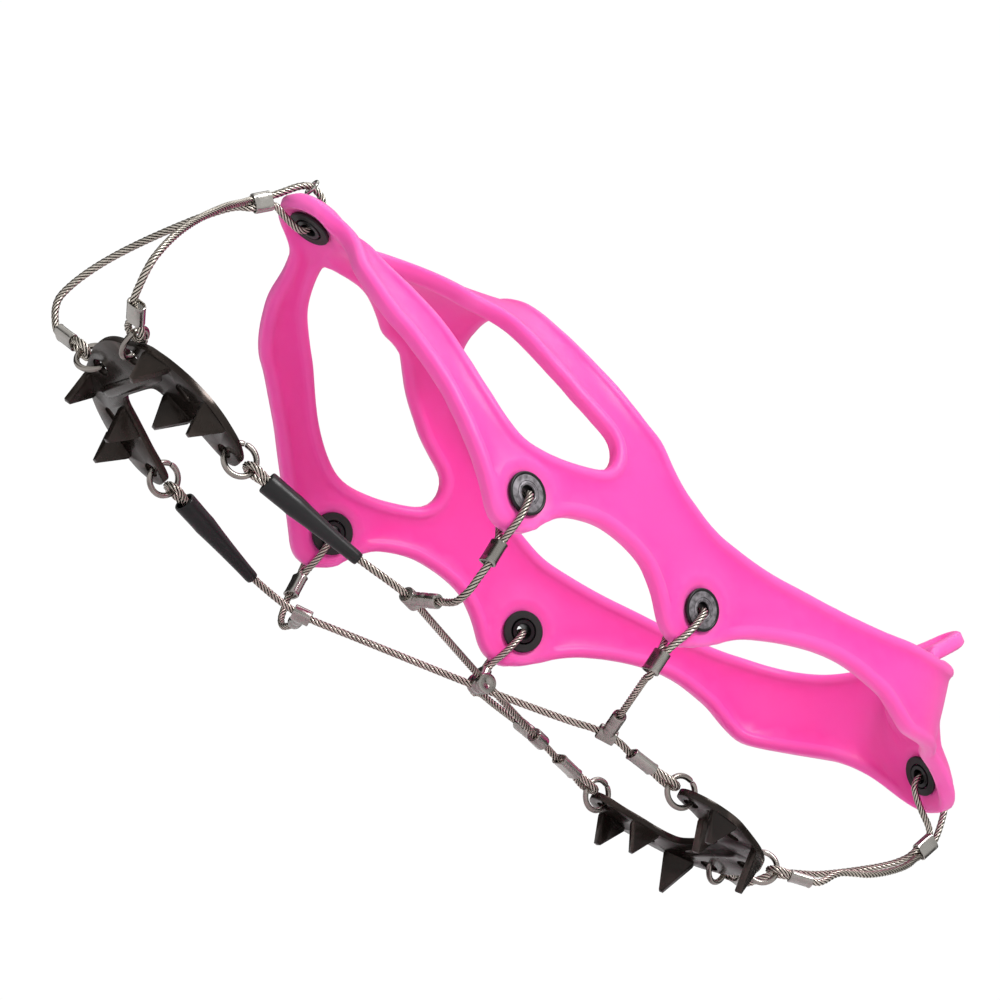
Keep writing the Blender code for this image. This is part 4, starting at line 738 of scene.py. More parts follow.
def half_thickness(from_edge, points):
    """Half the harness thickness, from the distance to the nearest edge and to the eyelets."""
    field, bead = FIELD_T / 2, BEAD_T / 2
    x = np.clip(from_edge / BEAD_IN, 0, 1)
    t = EDGE_HALF_T + (bead - EDGE_HALF_T) * np.sqrt(1 - (1 - x) ** 2)
    t = t + (field - bead) * smoothstep(*BEAD_FADE, from_edge)
    for name in HALF_EYELETS:
        r = np.linalg.norm(points - EYELET_FRAMES[name][0], axis=-1)
        boss = smoothstep(*BOSS_RISE, r) * (1 - smoothstep(*BOSS_FALL, r))
        t = np.maximum(t, field + (BEAD_T - FIELD_T) / 2 * boss)
        seat = 1 - smoothstep(*SEAT_FADE, r)
        t = t * (1 - seat) + PAD_T / 2 * seat
    return t


def harness_shape():
    """Sheet triangulated flat, carried on to the form, thickened and mirrored."""
    lower = resample_param(LOWER_EDGE, SKIN_STEP)
    upper = resample_param(UPPER_EDGE, SKIN_STEP)
    window = resample_param(SIDE_WINDOW, SKIN_STEP, closed=True)
    heel_window = heel_window_edge()
    pads = [pad_loops(name) for name in HALF_EYELETS]
    # the half holes run along the mirror line in a known direction
    toe_hole, heel_hole = pads[0][0], pads[1][0]
    if toe_hole[0, 0] < toe_hole[-1, 0]:
        toe_hole = toe_hole[::-1]
    if heel_hole[0, 1] > heel_hole[-1, 1]:
        heel_hole = heel_hole[::-1]
    outline = np.vstack([
        lower, centre_run(lower[-1], heel_hole[0]),
        heel_hole, centre_run(heel_hole[-1], heel_window[0]),
        heel_window, centre_run(heel_window[-1], upper[0]),
        upper, centre_run(upper[-1], toe_hole[-1]),
        toe_hole[::-1], centre_run(toe_hole[0], lower[0])])
    holes = [window] + [loops[0] for loops in pads[2:]]
    flat_outline, flat_holes = flatten(outline), [flatten(hole) for hole in holes]

    edges = ((lower, False), (upper, False), (heel_window, False), (window, True))
    edge_points = np.vstack([on_form(resample_param(edge, 0.5, closed))
                             for edge, closed in edges])
    rings = [ring for loops in pads for ring in loops[1:]]
    free = free_points(edges, edge_points, rings, flat_outline, flat_holes)
    _, sources, found = triangulate(flat_outline, flat_holes, [flatten(free)], 1e-5)
    triangles = [[sources[i][0] if sources[i] else -1 for i in f] for f in found]

    params = np.vstack([outline] + holes + [free])
    points, normals = harness_point(params[:, 0], params[:, 1])
    mirror = (params[:, 1] > 89.95) | (params[:, 0] < S_END + 0.01)
    points[mirror, 1] = 0.0
    normals[mirror, 1] = 0.0
    normals /= np.linalg.norm(normals, axis=1, keepdims=True)
    half = half_thickness(edge_distance(on_form(params), edge_points), points)
    outer, inner = points + normals * half[:, None], points - normals * half[:, None]
    count = len(params)
    # the mirror line is no real edge and gets no wall
    walls = [(a, b) for a, b in border_edges(triangles) if not (mirror[a] and mirror[b])]
    verts, faces = [], []
    for _, sign in SIDES:
        base = len(verts)
        flip = np.array([1, sign, 1])
        verts += list(outer * flip) + list(inner * flip)
        for a, b, c in triangles:
            faces.append((base + a, base + b, base + c))
            faces.append((base + count + c, base + count + b, base + count + a))
        for a, b in walls:
            faces.append((base + a, base + b, base + count + b, base + count + a))
    return verts, faces


# ------------------------------------------------------------------ spike plate shapes
class PlateFrame:
    """Local axes of a plate: a forward, b to the outer side, c up out of the sheet."""

    def __init__(self, position, pitch):
        pitch = radians(pitch)
        self.middle = np.array(position, float)
        self.forward = np.array([cos(pitch), 0, sin(pitch)])
        self.outer = np.array([0, 1.0, 0])
        self.up = np.array([-sin(pitch), 0, cos(pitch)])

    def at(self, a, b, c=0.0):
        return self.middle + a * self.forward + b * self.outer + c * self.up

    def direction(self, a, b, c):
        return a * self.forward + b * self.outer + c * self.up


FRAMES = {end: PlateFrame(plate["position"], plate["pitch"]) for end, plate in PLATES.items()}
ORIGIN = FRAMES["rear"].at(*ORIGIN_ON_REAR_PLATE, PLATE_T / 2)


def sheet(outline, holes, frame):
    """Flat sheet with holes."""
    corners, _, triangles = triangulate(outline, holes, [], 1e-6)
    count = len(corners)
    verts = [frame.at(a, b, c) for c in (PLATE_T / 2, -PLATE_T / 2) for a, b in corners]
    faces = []
    for face in triangles:
        faces.append(tuple(face))
        faces.append(tuple(count + i for i in face[::-1]))
    faces += [(a, b, count + b, count + a) for a, b in border_edges(triangles)]
    return verts, faces


def tooth(frame, outline, start, end, tip, height):
    """Triangular flap bent straight down from the edge between start and end."""
    along = unit(end - start)
    inward = np.array([-along[1], along[0]])
    if not inside(((start + end) / 2 + inward * 1.5)[None], outline)[0]:
        inward = -inward
    base = np.linalg.norm(end - start)
    bottom = -PLATE_T / 2 - height
    profile = [(0, -0.2), (0, -1.6), (tip * base - 0.5, bottom),
               (tip * base + 0.5, bottom), (base, -1.6), (base, -0.2)]
    verts, n = [], len(profile)
    for depth in (0.1, 0.1 + TOOTH_T):
        for s, c in profile:
            a, b = start + along * s + inward * depth
            verts.append(frame.at(a, b, c))
    faces = [tuple(range(n)), tuple(range(2 * n - 1, n - 1, -1))]
    for i in range(n):
        j = (i + 1) % n
        faces.append((i, j, n + j, n + i))
    return verts, faces


def rib(frame, at, half):
    """Shallow bar pressed down out of the sheet, across the plate."""
    sections = [(-half, 0.3), (-half + 1.6, 0.85), (-half + 4, 1.0),
                (half - 4, 1.0), (half - 1.6, 0.85), (half, 0.3)]
    turns = [2 * pi * i / 10 for i in range(10)]
    return loft([[frame.at(at + RIB_R * s * cos(g), b, -0.55 + 0.15 * (1 - s) + 1.35 * s * sin(g))
                  for g in turns] for b, s in sections])


def circle(a, b, r, sides=32):
    return np.array([(a + r * cos(2 * pi * i / sides), b + r * sin(2 * pi * i / sides))
                     for i in range(sides)])


def oval(a, b, half, r, sides=32):
    """Slot stretched along the plate's a direction."""
    turns = [2 * pi * (i + 0.5) / sides for i in range(sides)]
    return np.array([(a + (half if cos(g) > 0 else -half) + r * cos(g), b + r * sin(g))
                     for g in turns])


# ------------------------------------------------------------------ material nodes
def new_material(name):
    material = bpy.data.materials.new(name)
    material.use_nodes = True
    return material, material.node_tree, material.node_tree.nodes["Principled BSDF"]


def set_inputs(node, **values):
    for key, value in values.items():
        node.inputs[key.replace("_", " ")].default_value = value


def feed(tree, node, **sources):
    for key, source in sources.items():
        tree.links.new(source, node.inputs[key.replace("_", " ")])


def ramp(tree, factor, stops):
    node = tree.nodes.new("ShaderNodeValToRGB")
    while len(node.color_ramp.elements) < len(stops):
        node.color_ramp.elements.new(0.5)
    for element, (position, colour) in zip(node.color_ramp.elements, stops):
        element.position = position
        element.color = (*colour, 1)
    feed(tree, node, Fac=factor)
    return node.outputs["Color"]


def black_to_white(tree, factor, low, high):
    return ramp(tree, factor, [(low, (0, 0, 0)), (high, (1, 1, 1))])


def remap(tree, value, low, high):
    node = tree.nodes.new("ShaderNodeMapRange")
    set_inputs(node, To_Min=low, To_Max=high)
    feed(tree, node, Value=value)
    return node.outputs["Result"]


def bump(tree, height, strength, distance, under=None):
    node = tree.nodes.new("ShaderNodeBump")
    set_inputs(node, Strength=strength, Distance=distance)
    feed(tree, node, Height=height)
    if under is not None:
        feed(tree, node, Normal=under)
    return node.outputs["Normal"]


def noise(tree, scale, detail=3.0, rough=0.5, stretch=(1, 1, 1)):
    place = tree.nodes.new("ShaderNodeTexCoord")
    mapping = tree.nodes.new("ShaderNodeMapping")
    set_inputs(mapping, Scale=stretch)
    feed(tree, mapping, Vector=place.outputs["Object"])
    node = tree.nodes.new("ShaderNodeTexNoise")
    set_inputs(node, Scale=scale, Detail=detail, Roughness=rough)
    feed(tree, node, Vector=mapping.outputs["Vector"])
    return node.outputs["Fac"]


def mix_colour(tree, factor, base, colour):
    """The base socket's colour blended to a fixed colour by the factor."""
    node = tree.nodes.new("ShaderNodeMix")
    node.data_type = "RGBA"
    feed(tree, node, Factor=factor, A=base)
    set_inputs(node, B=(*colour, 1))
    return node.outputs["Result"]


def multiply(tree, value, factor):
    """Product of a socket with another socket or a number."""
    node = tree.nodes.new("ShaderNodeMath")
    node.operation = "MULTIPLY"
    tree.links.new(value, node.inputs[0])
    if isinstance(factor, float):
        node.inputs[1].default_value = factor
    else:
        tree.links.new(factor, node.inputs[1])
    return node.outputs[0]


def pointiness(tree):
    return tree.nodes.new("ShaderNodeNewGeometry").outputs["Pointiness"]


# ------------------------------------------------------------------ materials
PINK_MAIN = (1.0, 0.070, 0.44)
PINK_SOFT = (0.98, 0.058, 0.42)
PINK_PAINTED_SHADE = (0.96, 0.018, 0.34)      # painted shade, laid into hollows
PINK_PAINTED_HIGHLIGHT = (1.0, 0.135, 0.52)      # painted highlight, laid onto crests


def pink_rubber():
    material, tree, shader = new_material("pink_elastomer_look")
    fine = noise(tree, scale=900.0, detail=4.0, rough=0.6)
    cloud = noise(tree, scale=28.0, detail=2.0)
    colour = ramp(tree, cloud, [(0.35, PINK_SOFT), (0.65, PINK_MAIN)])
    # Painted light: a deeper pink in hollows stands in for shade, a lighter pink on crests for a
    # highlight
    relief = pointiness(tree)
    painted_shade_mask = ramp(tree, relief, [(0.43, (1, 1, 1)), (0.495, (0, 0, 0))])
    colour = mix_colour(tree, painted_shade_mask, colour, PINK_PAINTED_SHADE)
    painted_highlight_mask = black_to_white(tree, relief, 0.505, 0.57)
    colour = mix_colour(tree, painted_highlight_mask, colour, PINK_PAINTED_HIGHLIGHT)
    set_inputs(shader, Subsurface_Weight=0.25, Subsurface_Radius=(1.0, 0.35, 0.6),
               Subsurface_Scale=0.0012, Specular_IOR_Level=0.38,
               Sheen_Weight=0.15, Sheen_Roughness=0.5)
    grain = bump(tree, fine, strength=0.10, distance=0.0001)
    waves = noise(tree, scale=160.0, detail=2.0)
    feed(tree, shader, Base_Color=colour, Roughness=remap(tree, fine, low=0.36, high=0.50),
         Normal=bump(tree, waves, strength=0.10, distance=0.0003, under=grain))
    return material


def metal(name, base, dark, rough, wear, scale=600.0, groove=0.25, metallic=1.0, spots=90.0):
    """Spotted metal; scale and groove shape its grain, wear brightens its edges."""
    material, tree, shader = new_material(name)
    grain = noise(tree, scale, rough=0.6)
    colour = ramp(tree, noise(tree, spots), [(0.30, dark), (0.62, base)])
    edges = multiply(tree, black_to_white(tree, pointiness(tree), 0.46, 0.56), wear)
    bright = [min(1, c * 1.5 + 0.03) for c in base]
    set_inputs(shader, Metallic=metallic)
    feed(tree, shader, Base_Color=mix_colour(tree, edges, colour, bright),
         Roughness=remap(tree, grain, low=rough - 0.08, high=rough + 0.12),
         Normal=bump(tree, grain, strength=groove, distance=0.00008))
    return material


def black_coat():
    """Black coated steel, worn brownish and brighter along its edges."""
    material, tree, shader = new_material("plate_black_look")
    blotches = noise(tree, scale=55.0, detail=4.0, rough=0.55)
    fine = noise(tree, scale=1400.0, rough=0.6)
    colour = ramp(tree, blotches, [(0.30, (0.012, 0.0095, 0.008)),
                                   (0.55, (0.022, 0.0158, 0.0125)),
                                   (0.76, (0.044, 0.0305, 0.0245))])
    edges = black_to_white(tree, pointiness(tree), 0.53, 0.64)
    scratches = noise(tree, scale=240.0, detail=5.0, rough=0.7, stretch=(0.25, 1.4, 1))
    worn = multiply(tree, edges, remap(tree, scratches, low=0.0, high=1.0))
    set_inputs(shader, Metallic=0.7, Coat_Weight=0.20, Coat_Roughness=0.10,
               Specular_IOR_Level=0.2)
    grain = bump(tree, fine, strength=0.10, distance=0.00008)
    steel_waves = noise(tree, scale=130.0, detail=2.0)
    coat_waves = noise(tree, scale=130.0, detail=2.0)
    feed(tree, shader, Base_Color=mix_colour(tree, worn, colour, (0.11, 0.085, 0.075)),
         Roughness=remap(tree, blotches, low=0.20, high=0.34),
         Normal=bump(tree, steel_waves, strength=0.22, distance=0.0005, under=grain),
         Coat_Normal=bump(tree, coat_waves, strength=0.16, distance=0.0004))
    return material


def matt_black(name, colour, rough, specular=0.4):
    material, tree, shader = new_material(name)
    fine = noise(tree, scale=800.0)
    shades = [(0.3, tuple(0.6 * c for c in colour)), (0.7, tuple(1.5 * c for c in colour))]
    set_inputs(shader, Specular_IOR_Level=specular)
    feed(tree, shader, Base_Color=ramp(tree, noise(tree, scale=60.0), shades),
         Roughness=remap(tree, fine, low=rough - 0.08, high=rough + 0.1),
         Normal=bump(tree, fine, strength=0.2, distance=0.0001))
    return material


M_PINK = pink_rubber()
M_PLATE = black_coat()
M_STEEL = metal("pressed_steel_look", base=(0.40, 0.385, 0.36), dark=(0.28, 0.265, 0.245),
                rough=0.20, wear=0.0, scale=1100.0, groove=0.05)
M_RING = metal("ring_steel_look", base=(0.32, 0.295, 0.27), dark=(0.12, 0.105, 0.095),
               rough=0.18, wear=0.25, groove=0.08)
M_WIRE = metal("strand_look", base=(0.58, 0.535, 0.47), dark=(0.36, 0.325, 0.28),
               rough=0.28, wear=0.2, scale=1500.0, groove=0.12)
# Painted shade: the dark strand flanks and the black core stand in for the shade in the rope's
# grooves
M_STRAND_PAINTED_SHADE = metal("strand_painted_shade_look", base=(0.055, 0.047, 0.040), dark=(0.022, 0.019, 0.016),
                rough=0.36, wear=0.0, scale=1500.0)
M_CORE_PAINTED_SHADE = matt_black("core_painted_shade_look", (0.008, 0.007, 0.006), rough=0.7)
M_EYELET = metal("eyelet_look", base=(0.27, 0.25, 0.27), dark=(0.07, 0.065, 0.07),
                 rough=0.42, wear=0.1, scale=900.0, groove=0.8, metallic=0.5, spots=900.0)
M_RIM = matt_black("eyelet_rim_look", (0.0035, 0.0035, 0.004), rough=0.32, specular=0.3)
M_WASHER = matt_black("washer_look", (0.008, 0.008, 0.008), rough=0.5, specular=0.35)
M_SLEEVE = matt_black("sleeve_look", (0.0055, 0.0055, 0.006), rough=0.34, specular=0.35)


# ------------------------------------------------------------------ objects
def shade_smooth(mesh, sharp=None):
    """Smooth shading, with edges steeper than the sharp angle (deg) kept."""
    mesh.polygons.foreach_set("use_smooth", [True] * len(mesh.polygons))
    if sharp:
        mesh.set_sharp_from_angle(angle=radians(sharp))


def make_mesh(name, shape, materials=(), face_materials=(), weld=None):
    """Mesh in world metres from a shape in foot frame mm."""
    verts, faces = shape
    mesh = bpy.data.meshes.new(name)
    mesh.from_pydata([tuple((np.array(v) - ORIGIN) * MM) for v in verts], [], faces)
    for material in materials:
        mesh.materials.append(material)
    for polygon, index in zip(mesh.polygons, face_materials):
        polygon.material_index = index
    bm = bmesh.new()
    bm.from_mesh(mesh)
    if weld:
        bmesh.ops.remove_doubles(bm, verts=bm.verts, dist=weld * MM)
    bmesh.ops.recalc_face_normals(bm, faces=bm.faces)
    bm.to_mesh(mesh)
    bm.free()
    return mesh


def add_object(name, data):
    ob = bpy.data.objects.new(name, data)
    bpy.context.scene.collection.objects.link(ob)
    return ob


def piece(name, shape, materials, node, body=ROOT, face_materials=(), sharp=None,
          weld=None):
    """Visible object that stands in for a CAD node."""
    mesh = make_mesh(name, shape, materials, face_materials, weld)
    shade_smooth(mesh)
    ob = add_object(name, mesh)
    if sharp:
        mesh.set_sharp_from_angle(angle=radians(sharp))
    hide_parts(node)
    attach(ob, body)
    return ob


def steel_piece(name, suffix, shape, sharp):
    piece(name + suffix, shape, [M_STEEL], name, sharp=sharp)


def harness():
    skin = piece("harness_skin", harness_shape(), [M_PINK], "harness",
                 weld=0.001)
    bm = bmesh.new()
    bm.from_mesh(skin.data)
    bmesh.ops.smooth_vert(bm, verts=bm.verts, factor=0.35,
                          use_axis_x=True, use_axis_y=True, use_axis_z=True)
    bm.to_mesh(skin.data)
    bm.free()
    shade_smooth(skin.data)


def eyelet(name):
    """Flanged eyelet on the outer face of the pad and a washer on the inner face."""
    centre, axis = EYELET_FRAMES[name]
    seat = PAD_T / 2 + GAP
    face = seat + FLANGE_T
    flange, barrel, bore = EYELET_FLANGE_R, EYELET_BARREL_R, EYELET_BORE_R
    profile = [
        (barrel, seat), (flange - 0.1, seat), (flange, seat + 0.15), (flange, face - 0.30),
        (flange - 0.14, face - 0.08), (flange - 0.38, face), (flange - 0.62, face - 0.06),
        # stepped face inside the rim
        (flange - 0.80, face - 0.24), (flange - 1.6, face - 0.20), (3.00, face - 0.12),
        (2.93, face - 0.26), (2.82, face - 0.26), (2.75, face - 0.10),
        (bore + 0.55, face - 0.04), (bore + 0.48, face - 0.16), (bore + 0.40, face - 0.16),
        (bore + 0.30, face - 0.05), (bore + 0.12, face - 0.12),
        # bore and barrel
        (bore, face - 0.4), (bore, -face + 0.1), (bore + 0.15, -face - 0.15),
        (barrel - 0.15, -face - 0.15), (barrel, -face + 0.1)]
    shape = lathe(profile, centre, axis, 56)
    # only the stepped face is grey
    looks = [0 if 7 <= i % len(profile) < 18 else 1 for i in range(len(shape[1]))]
    piece(f"eyelet_{name}_face", shape, [M_EYELET, M_RIM], "eyelet_" + name,
          face_materials=looks, sharp=40)
    hole, rim = barrel + GAP, flange + 0.2
    profile = [(hole, -seat - 0.12), (hole + 0.12, -seat), (rim - 0.2, -seat),
               (rim, -seat - 0.2), (rim, -face + 0.2), (rim - 0.2, -face),
               (hole + 0.12, -face), (hole, -face + 0.12)]
    piece(f"washer_{name}_disc", lathe(profile, centre, axis, 56), [M_WASHER],
          "washer_" + name, sharp=40)


def spike_plate(end):
    """Sheet joined with its teeth and rib, edges softened."""
    plate, frame, name = PLATES[end], FRAMES[end], end + "_spike_plate"
    half = plate["half"]
    full = list(half) + [(a, -b) for a, b in half[-2:0:-1]]
    outline = resample(catmull(full, 0.8, closed=True), 1.1, closed=True)
    holes, teeth = [], []
    for _, sign in SIDES:
        (leg_a, leg_b), (edge_a, edge_b) = plate["leg_hole"], plate["edge_hole"]
        slot_a, slot_b = plate["slot"]
        holes += [circle(leg_a, sign * leg_b, PLATE_HOLE_R),
                  circle(edge_a, sign * edge_b, EDGE_HOLE_R),
                  oval(slot_a, sign * slot_b, SLOT_HALF, SLOT_R)]
    for start, stop, tip, height in plate["teeth"]:
        for _, sign in SIDES:
            flip = np.array([1.0, sign])
            teeth.append(tooth(frame, outline, start * flip, stop * flip, tip, height))
    ob = piece(name + "_pressing", sheet(outline, holes, frame), [M_PLATE], name,
               body=end + "_plate", weld=0.0005)
    tools = []
    for tag, shape in (("teeth", join(*teeth)), ("rib", rib(frame, *plate["rib"]))):
        tool = add_object(f"{name}_{tag}", make_mesh(name + tag, shape))
        union = ob.modifiers.new(tag, "BOOLEAN")
        union.operation, union.solver, union.object = "UNION", "EXACT", tool
        tools.append(tool)
    bevel = ob.modifiers.new("soften", "BEVEL")
    bevel.width, bevel.segments = 0.28 * MM, 2
    bevel.limit_method, bevel.angle_limit = "ANGLE", radians(35)
    bevel.use_clamp_overlap = True
    bpy.context.view_layer.update()
    graph = bpy.context.evaluated_depsgraph_get()
    mesh = bpy.data.meshes.new_from_object(ob.evaluated_get(graph))
    ob.modifiers.clear()
    ob.data = mesh
    for tool in tools:
        bpy.data.objects.remove(tool)
    shade_smooth(mesh, sharp=32)


def wire_rope(name, path):
    """Twisted rope: outer strands wound round a core painted black as shade."""
    path = resample(chaikin(path, 3), 0.75)
    u, v = frames(path)
    along = arc_length(path)
    parts = [tube(path, CORE_R, 6)]
    looks = [1] * len(parts[0][1])
    sides = 8
    angles = [2 * pi * j / sides for j in range(sides)]
    for k in range(STRANDS):
        turn = 2 * pi * (k / STRANDS + along / LAY)
        out = np.cos(turn)[:, None] * u + np.sin(turn)[:, None] * v
        centres = path + STRAND_AT * out
        tangent = np.gradient(centres, axis=0)
        tangent /= np.linalg.norm(tangent, axis=1, keepdims=True)
        across = np.cross(tangent, out)
        parts.append(loft([[c + STRAND_R * (cos(a) * o + sin(a) * s) for a in angles]
                           for c, o, s in zip(centres, out, across)]))
        # steel colour on the crown and end caps; painted shade on the flanks (dark) and on the
        # inner faces (black)
        looks += [0, 2, 1, 1, 1, 1, 2, 0] * (len(centres) - 1) + [0, 0]
    piece(name + "_rope", join(*parts), [M_WIRE, M_CORE_PAINTED_SHADE, M_STRAND_PAINTED_SHADE], name,
          face_materials=looks)


def ferrule(name, start, end, pair, out_r=FERRULE_OUT_R):
    """Oval pressed sleeve round two ropes, its flats a little sunk and its ends rolled."""
    length = np.linalg.norm(end - start)
    along = (end - start) / length
    wide = unit(pair - along * (pair @ along))
    thin = np.cross(along, wide)
    in_r = FERRULE_IN_R
    turns = [-pi / 2 + pi * i / 13 for i in range(14)]
    # along, radius, how far the flats sink
    profile = [
        (0.55, in_r, 0), (0.1, in_r, 0), (0.0, in_r + 0.12, 0), (0.0, out_r - 0.20, 0),
        (0.10, out_r - 0.05, 0.05), (0.30, out_r, 0.10), (0.9, out_r, 0.26), (1.4, out_r, 0.28),
        (length - 1.4, out_r, 0.28), (length - 0.9, out_r, 0.26), (length - 0.30, out_r, 0.10),
        (length - 0.10, out_r - 0.05, 0.05), (length, out_r - 0.20, 0),
        (length, in_r + 0.12, 0), (length - 0.1, in_r, 0), (length - 0.55, in_r, 0)]
    rings = [[start + along * x + sign * wide * (PAIR + r * cos(g))
              + sign * thin * (r * sin(g) - flat * sin(g) ** 3)
              for sign in (1, -1) for g in turns] for x, r, flat in profile]
    steel_piece(name, "_pressed", loft(rings), sharp=40)


def split_ring(name, hole, pull, up):
    """Split ring of round wire with its two ends meeting at a fine slit."""
    pull = unit(pull)
    up = unit(up - pull * (up @ pull))
    centre = hole + pull * RING_MEAN_R
    gap = RING_SLIT_HALF / RING_MEAN_R
    count = 56
    points = []
    for i in range(count + 1):
        turn = RING_SLIT_ANGLE + gap + (2 * pi - 2 * gap) * i / count
        points.append(centre + RING_MEAN_R * (cos(turn) * pull + sin(turn) * up))
    radii = np.full(count + 1, RING_WIRE_R)
    radii[[0, -1]] = RING_WIRE_R - 0.14      # rounded ends
    radii[[1, -2]] = RING_WIRE_R - 0.03
    piece(name + "_wire", tube(points, radii, 14), [M_RING], name, body=name, sharp=50)


def sleeve(name, start, along):
    """Tapered rubber sleeve, a little drawn in over the rope."""
    end = SLEEVE_LEN
    profile = [
        (2.1, 0.9), (2.12, 0.15), (2.35, 0.0), (2.62, 0.12), (2.74, 0.5), (2.70, 3.0),
        (2.62, 6.5), (2.66, 8.4), (2.5, 10.2), (2.28, 13.0), (2.02, 17.0), (1.80, 21.0),
        (1.66, 24.0), (1.6, end - 1.0), (1.5, end - 0.15), (1.36, end), (1.18, end),
        (1.15, end - 0.8), (1.2, 16.0), (2.0, 11.0)]
    piece(name + "_tube", lathe(profile, start, along, 40), [M_SLEEVE], name,
          sharp=50)


def centre_clamp():
    """Barrel across the foot at the crossing, with a groove near each end."""
    r, h = CLAMP_R, CLAMP_HALF
    profile = [
        (0.02, -h + 0.35), (0.5, -h + 0.3), (0.9, -h + 0.05), (r - 0.45, -h),
        (r - 0.12, -h + 0.1), (r, -h + 0.4), (r, -h + 1.4), (r - 0.1, -h + 1.6),
        (r - 0.1, -h + 1.8), (r, -h + 2.0), (r, h - 2.0), (r - 0.1, h - 1.8),
        (r - 0.1, h - 1.6), (r, h - 1.4), (r, h - 0.4), (r - 0.12, h - 0.1), (r - 0.45, h),
        (0.9, h - 0.05), (0.5, h - 0.3), (0.02, h - 0.35)]
    turns = [2 * pi * i / 44 for i in range(44)]
    rings = [[np.array(CENTRE) + np.array([radius * cos(g), y, radius * sin(g)]) for g in turns]
             for radius, y in profile]
    steel_piece("centre_clamp", "_barrel", loft(rings), sharp=45)


def tee_clamp(name, at, ahead, behind, stem):
    """T clamp: head pressed round the long cable and a crimped tube on the side cable."""
    along = unit(behind - ahead)
    head = turned_bar(at - along * TEE_HALF, at + along * TEE_HALF, [
        (0.08, 1.25), (0.0, 1.3), (0.0, 1.82), (0.03, 1.93), (0.08, 1.97), (0.92, 1.97),
        (0.97, 1.93), (1.0, 1.82), (1.0, 1.3), (0.92, 1.25)])
    crimped = turned_bar(at, at + stem * TEE_LEN, [
        (0.9 / TEE_LEN, 1.72), (0.26, 1.76), (0.30, 1.66), (0.36, 1.66), (0.40, 1.77),
        (0.55, 1.77), (0.59, 1.66), (0.65, 1.66), (0.69, 1.77), (0.93, 1.77), (0.975, 1.72),
        (1.0, 1.58), (1.0, 1.22), (0.95, 1.15)])
    steel_piece(name, "_pressed", join(head, crimped), sharp=40)


def keeper_ring(loop):
    """Small closed ring round the toe cable, where it leaves the ferrule."""
    middle = loop[0] * 0.7 + loop[1] * 0.3 + np.array(KEEPER_SHIFT)
    across = np.array([0, 1.0, 0])
    up = np.cross(across, unit(loop[1] - loop[0]))
    turns = [2 * pi * i / 48 for i in range(48)]
    points = [middle + KEEPER_R * (cos(g) * across + sin(g) * up) for g in turns]
    piece("toe_keeper_ring_wire", tube(points, KEEPER_WIRE_R, 12, closed=True), [M_STEEL],
          "toe_keeper_ring", body="keeper_ring")


# ------------------------------------------------------------------ cable paths
def eye(hole, pull, up, start, tail):
    """Cable eye from its dead end round the ring and back, with its two directions.

    start is where the two legs begin to run side by side, tail the length of the dead end.
    """
    pull = unit(pull)
    across = unit(np.cross(pull, up))
    bend = EYE_SET + EYE_HALF
    middle, spread = (start + bend) / 2 + 0.3, (PAIR + EYE_HALF) / 2 + 0.1
    points = [(start + tail, -PAIR), (start, -PAIR), (middle, -spread)]
    for i in range(9):
        turn = -pi / 2 - pi * i / 8
        points.append((bend + EYE_HALF * cos(turn), EYE_HALF * sin(turn)))
    points += [(middle, spread), (start, PAIR)]
    return [hole + pull * x + across * y for x, y in points], pull, across


def eyelet_loop(name, toward, reach, rise=0.0, below=0.0):
    """Rope that comes up outside the pad, goes in through the eyelet and back down inside."""
    centre, axis = EYELET_FRAMES[name]
    out = toward - centre
    out = unit(out - axis * (out @ axis))
    profile = [(reach, 4.0 + rise), (2.8, 4.1 + rise), (1.2, 3.9 + rise * 0.6),
               (0.25, 2.9 + rise * 0.2), (0, 1.4), (0, -1.4), (0.25, -2.9),
               (1.2, -3.9 - below * 0.5), (2.6, -4.1 - below), (reach, -4.0 - below)]
    return [centre + out * x + axis * y for x, y in profile]


def tee_seat(end, side, sign):
    """Centre of a T clamp and the long cable's points ahead of it and behind it."""
    if end == "front":
        ahead, behind = on_side(FRONT_AHEAD, sign), on_side(FRONT_BEHIND, sign)
    else:
        hole, pull, _ = HOOKS["rear_" + side]
        ahead = on_side(REAR_AHEAD, sign)
        behind = hole + pull * (REAR_FERRULE_AT + END_FERRULE_LEN + 2.5)
    return on_side(TEES[end], sign), ahead, behind


def through(at, ahead, behind):
    """Straight length of cable inside a T clamp, with the bends kept outside it."""
    along = unit(ahead - behind)
    return [at + along * 3.4, at - along * 3.4]


def long_cable(side, sign):
    """From the front ring on this side, under the foot, to the rear ring on the other side."""
    other = "inner" if sign > 0 else "outer"
    hole = HOOKS["front_" + side][0]
    front, pull, across = eye(*HOOKS["front_" + side], SLEEVE_AT, 7.5)
    rear_hole = HOOKS["rear_" + other][0]
    rear, rear_pull, rear_across = eye(*HOOKS["rear_" + other], REAR_FERRULE_AT,
                                       END_FERRULE_LEN - 1.0)
    lift = np.array([0, 0, CROSS * sign])
    beside = np.array([CROSS_REACH, sign * CROSS_SPREAD, 0])
    rear_end = REAR_FERRULE_AT + END_FERRULE_LEN - 0.5
    run = [
        hole + pull * (SLEEVE_AT + 8.0) + across * PAIR,
        hole + pull * (SLEEVE_AT + 14.0) + across * 0.2,
        hole + pull * (SLEEVE_AT + 20),
        hole + pull * (SLEEVE_AT + SLEEVE_LEN - 0.4),
        *through(*tee_seat("front", side, sign)),
        on_side(FRONT_BEHIND, sign) + 0.3 * lift,
        CENTRE + beside + lift,
        CENTRE - beside + lift,
        on_side(REAR_AHEAD, -sign) + 0.3 * lift,
        *through(*tee_seat("rear", other, -sign)),
        rear_hole + rear_pull * rear_end + rear_across * PAIR]
    wire_rope("long_cable_" + side, front + run + rear[::-1])
    start = rear_hole + rear_pull * REAR_FERRULE_AT
    ferrule("rear_ferrule_" + other, start, start + rear_pull * END_FERRULE_LEN, rear_across)
    sleeve("sleeve_" + side, hole + pull * (SLEEVE_AT - 0.2), pull)


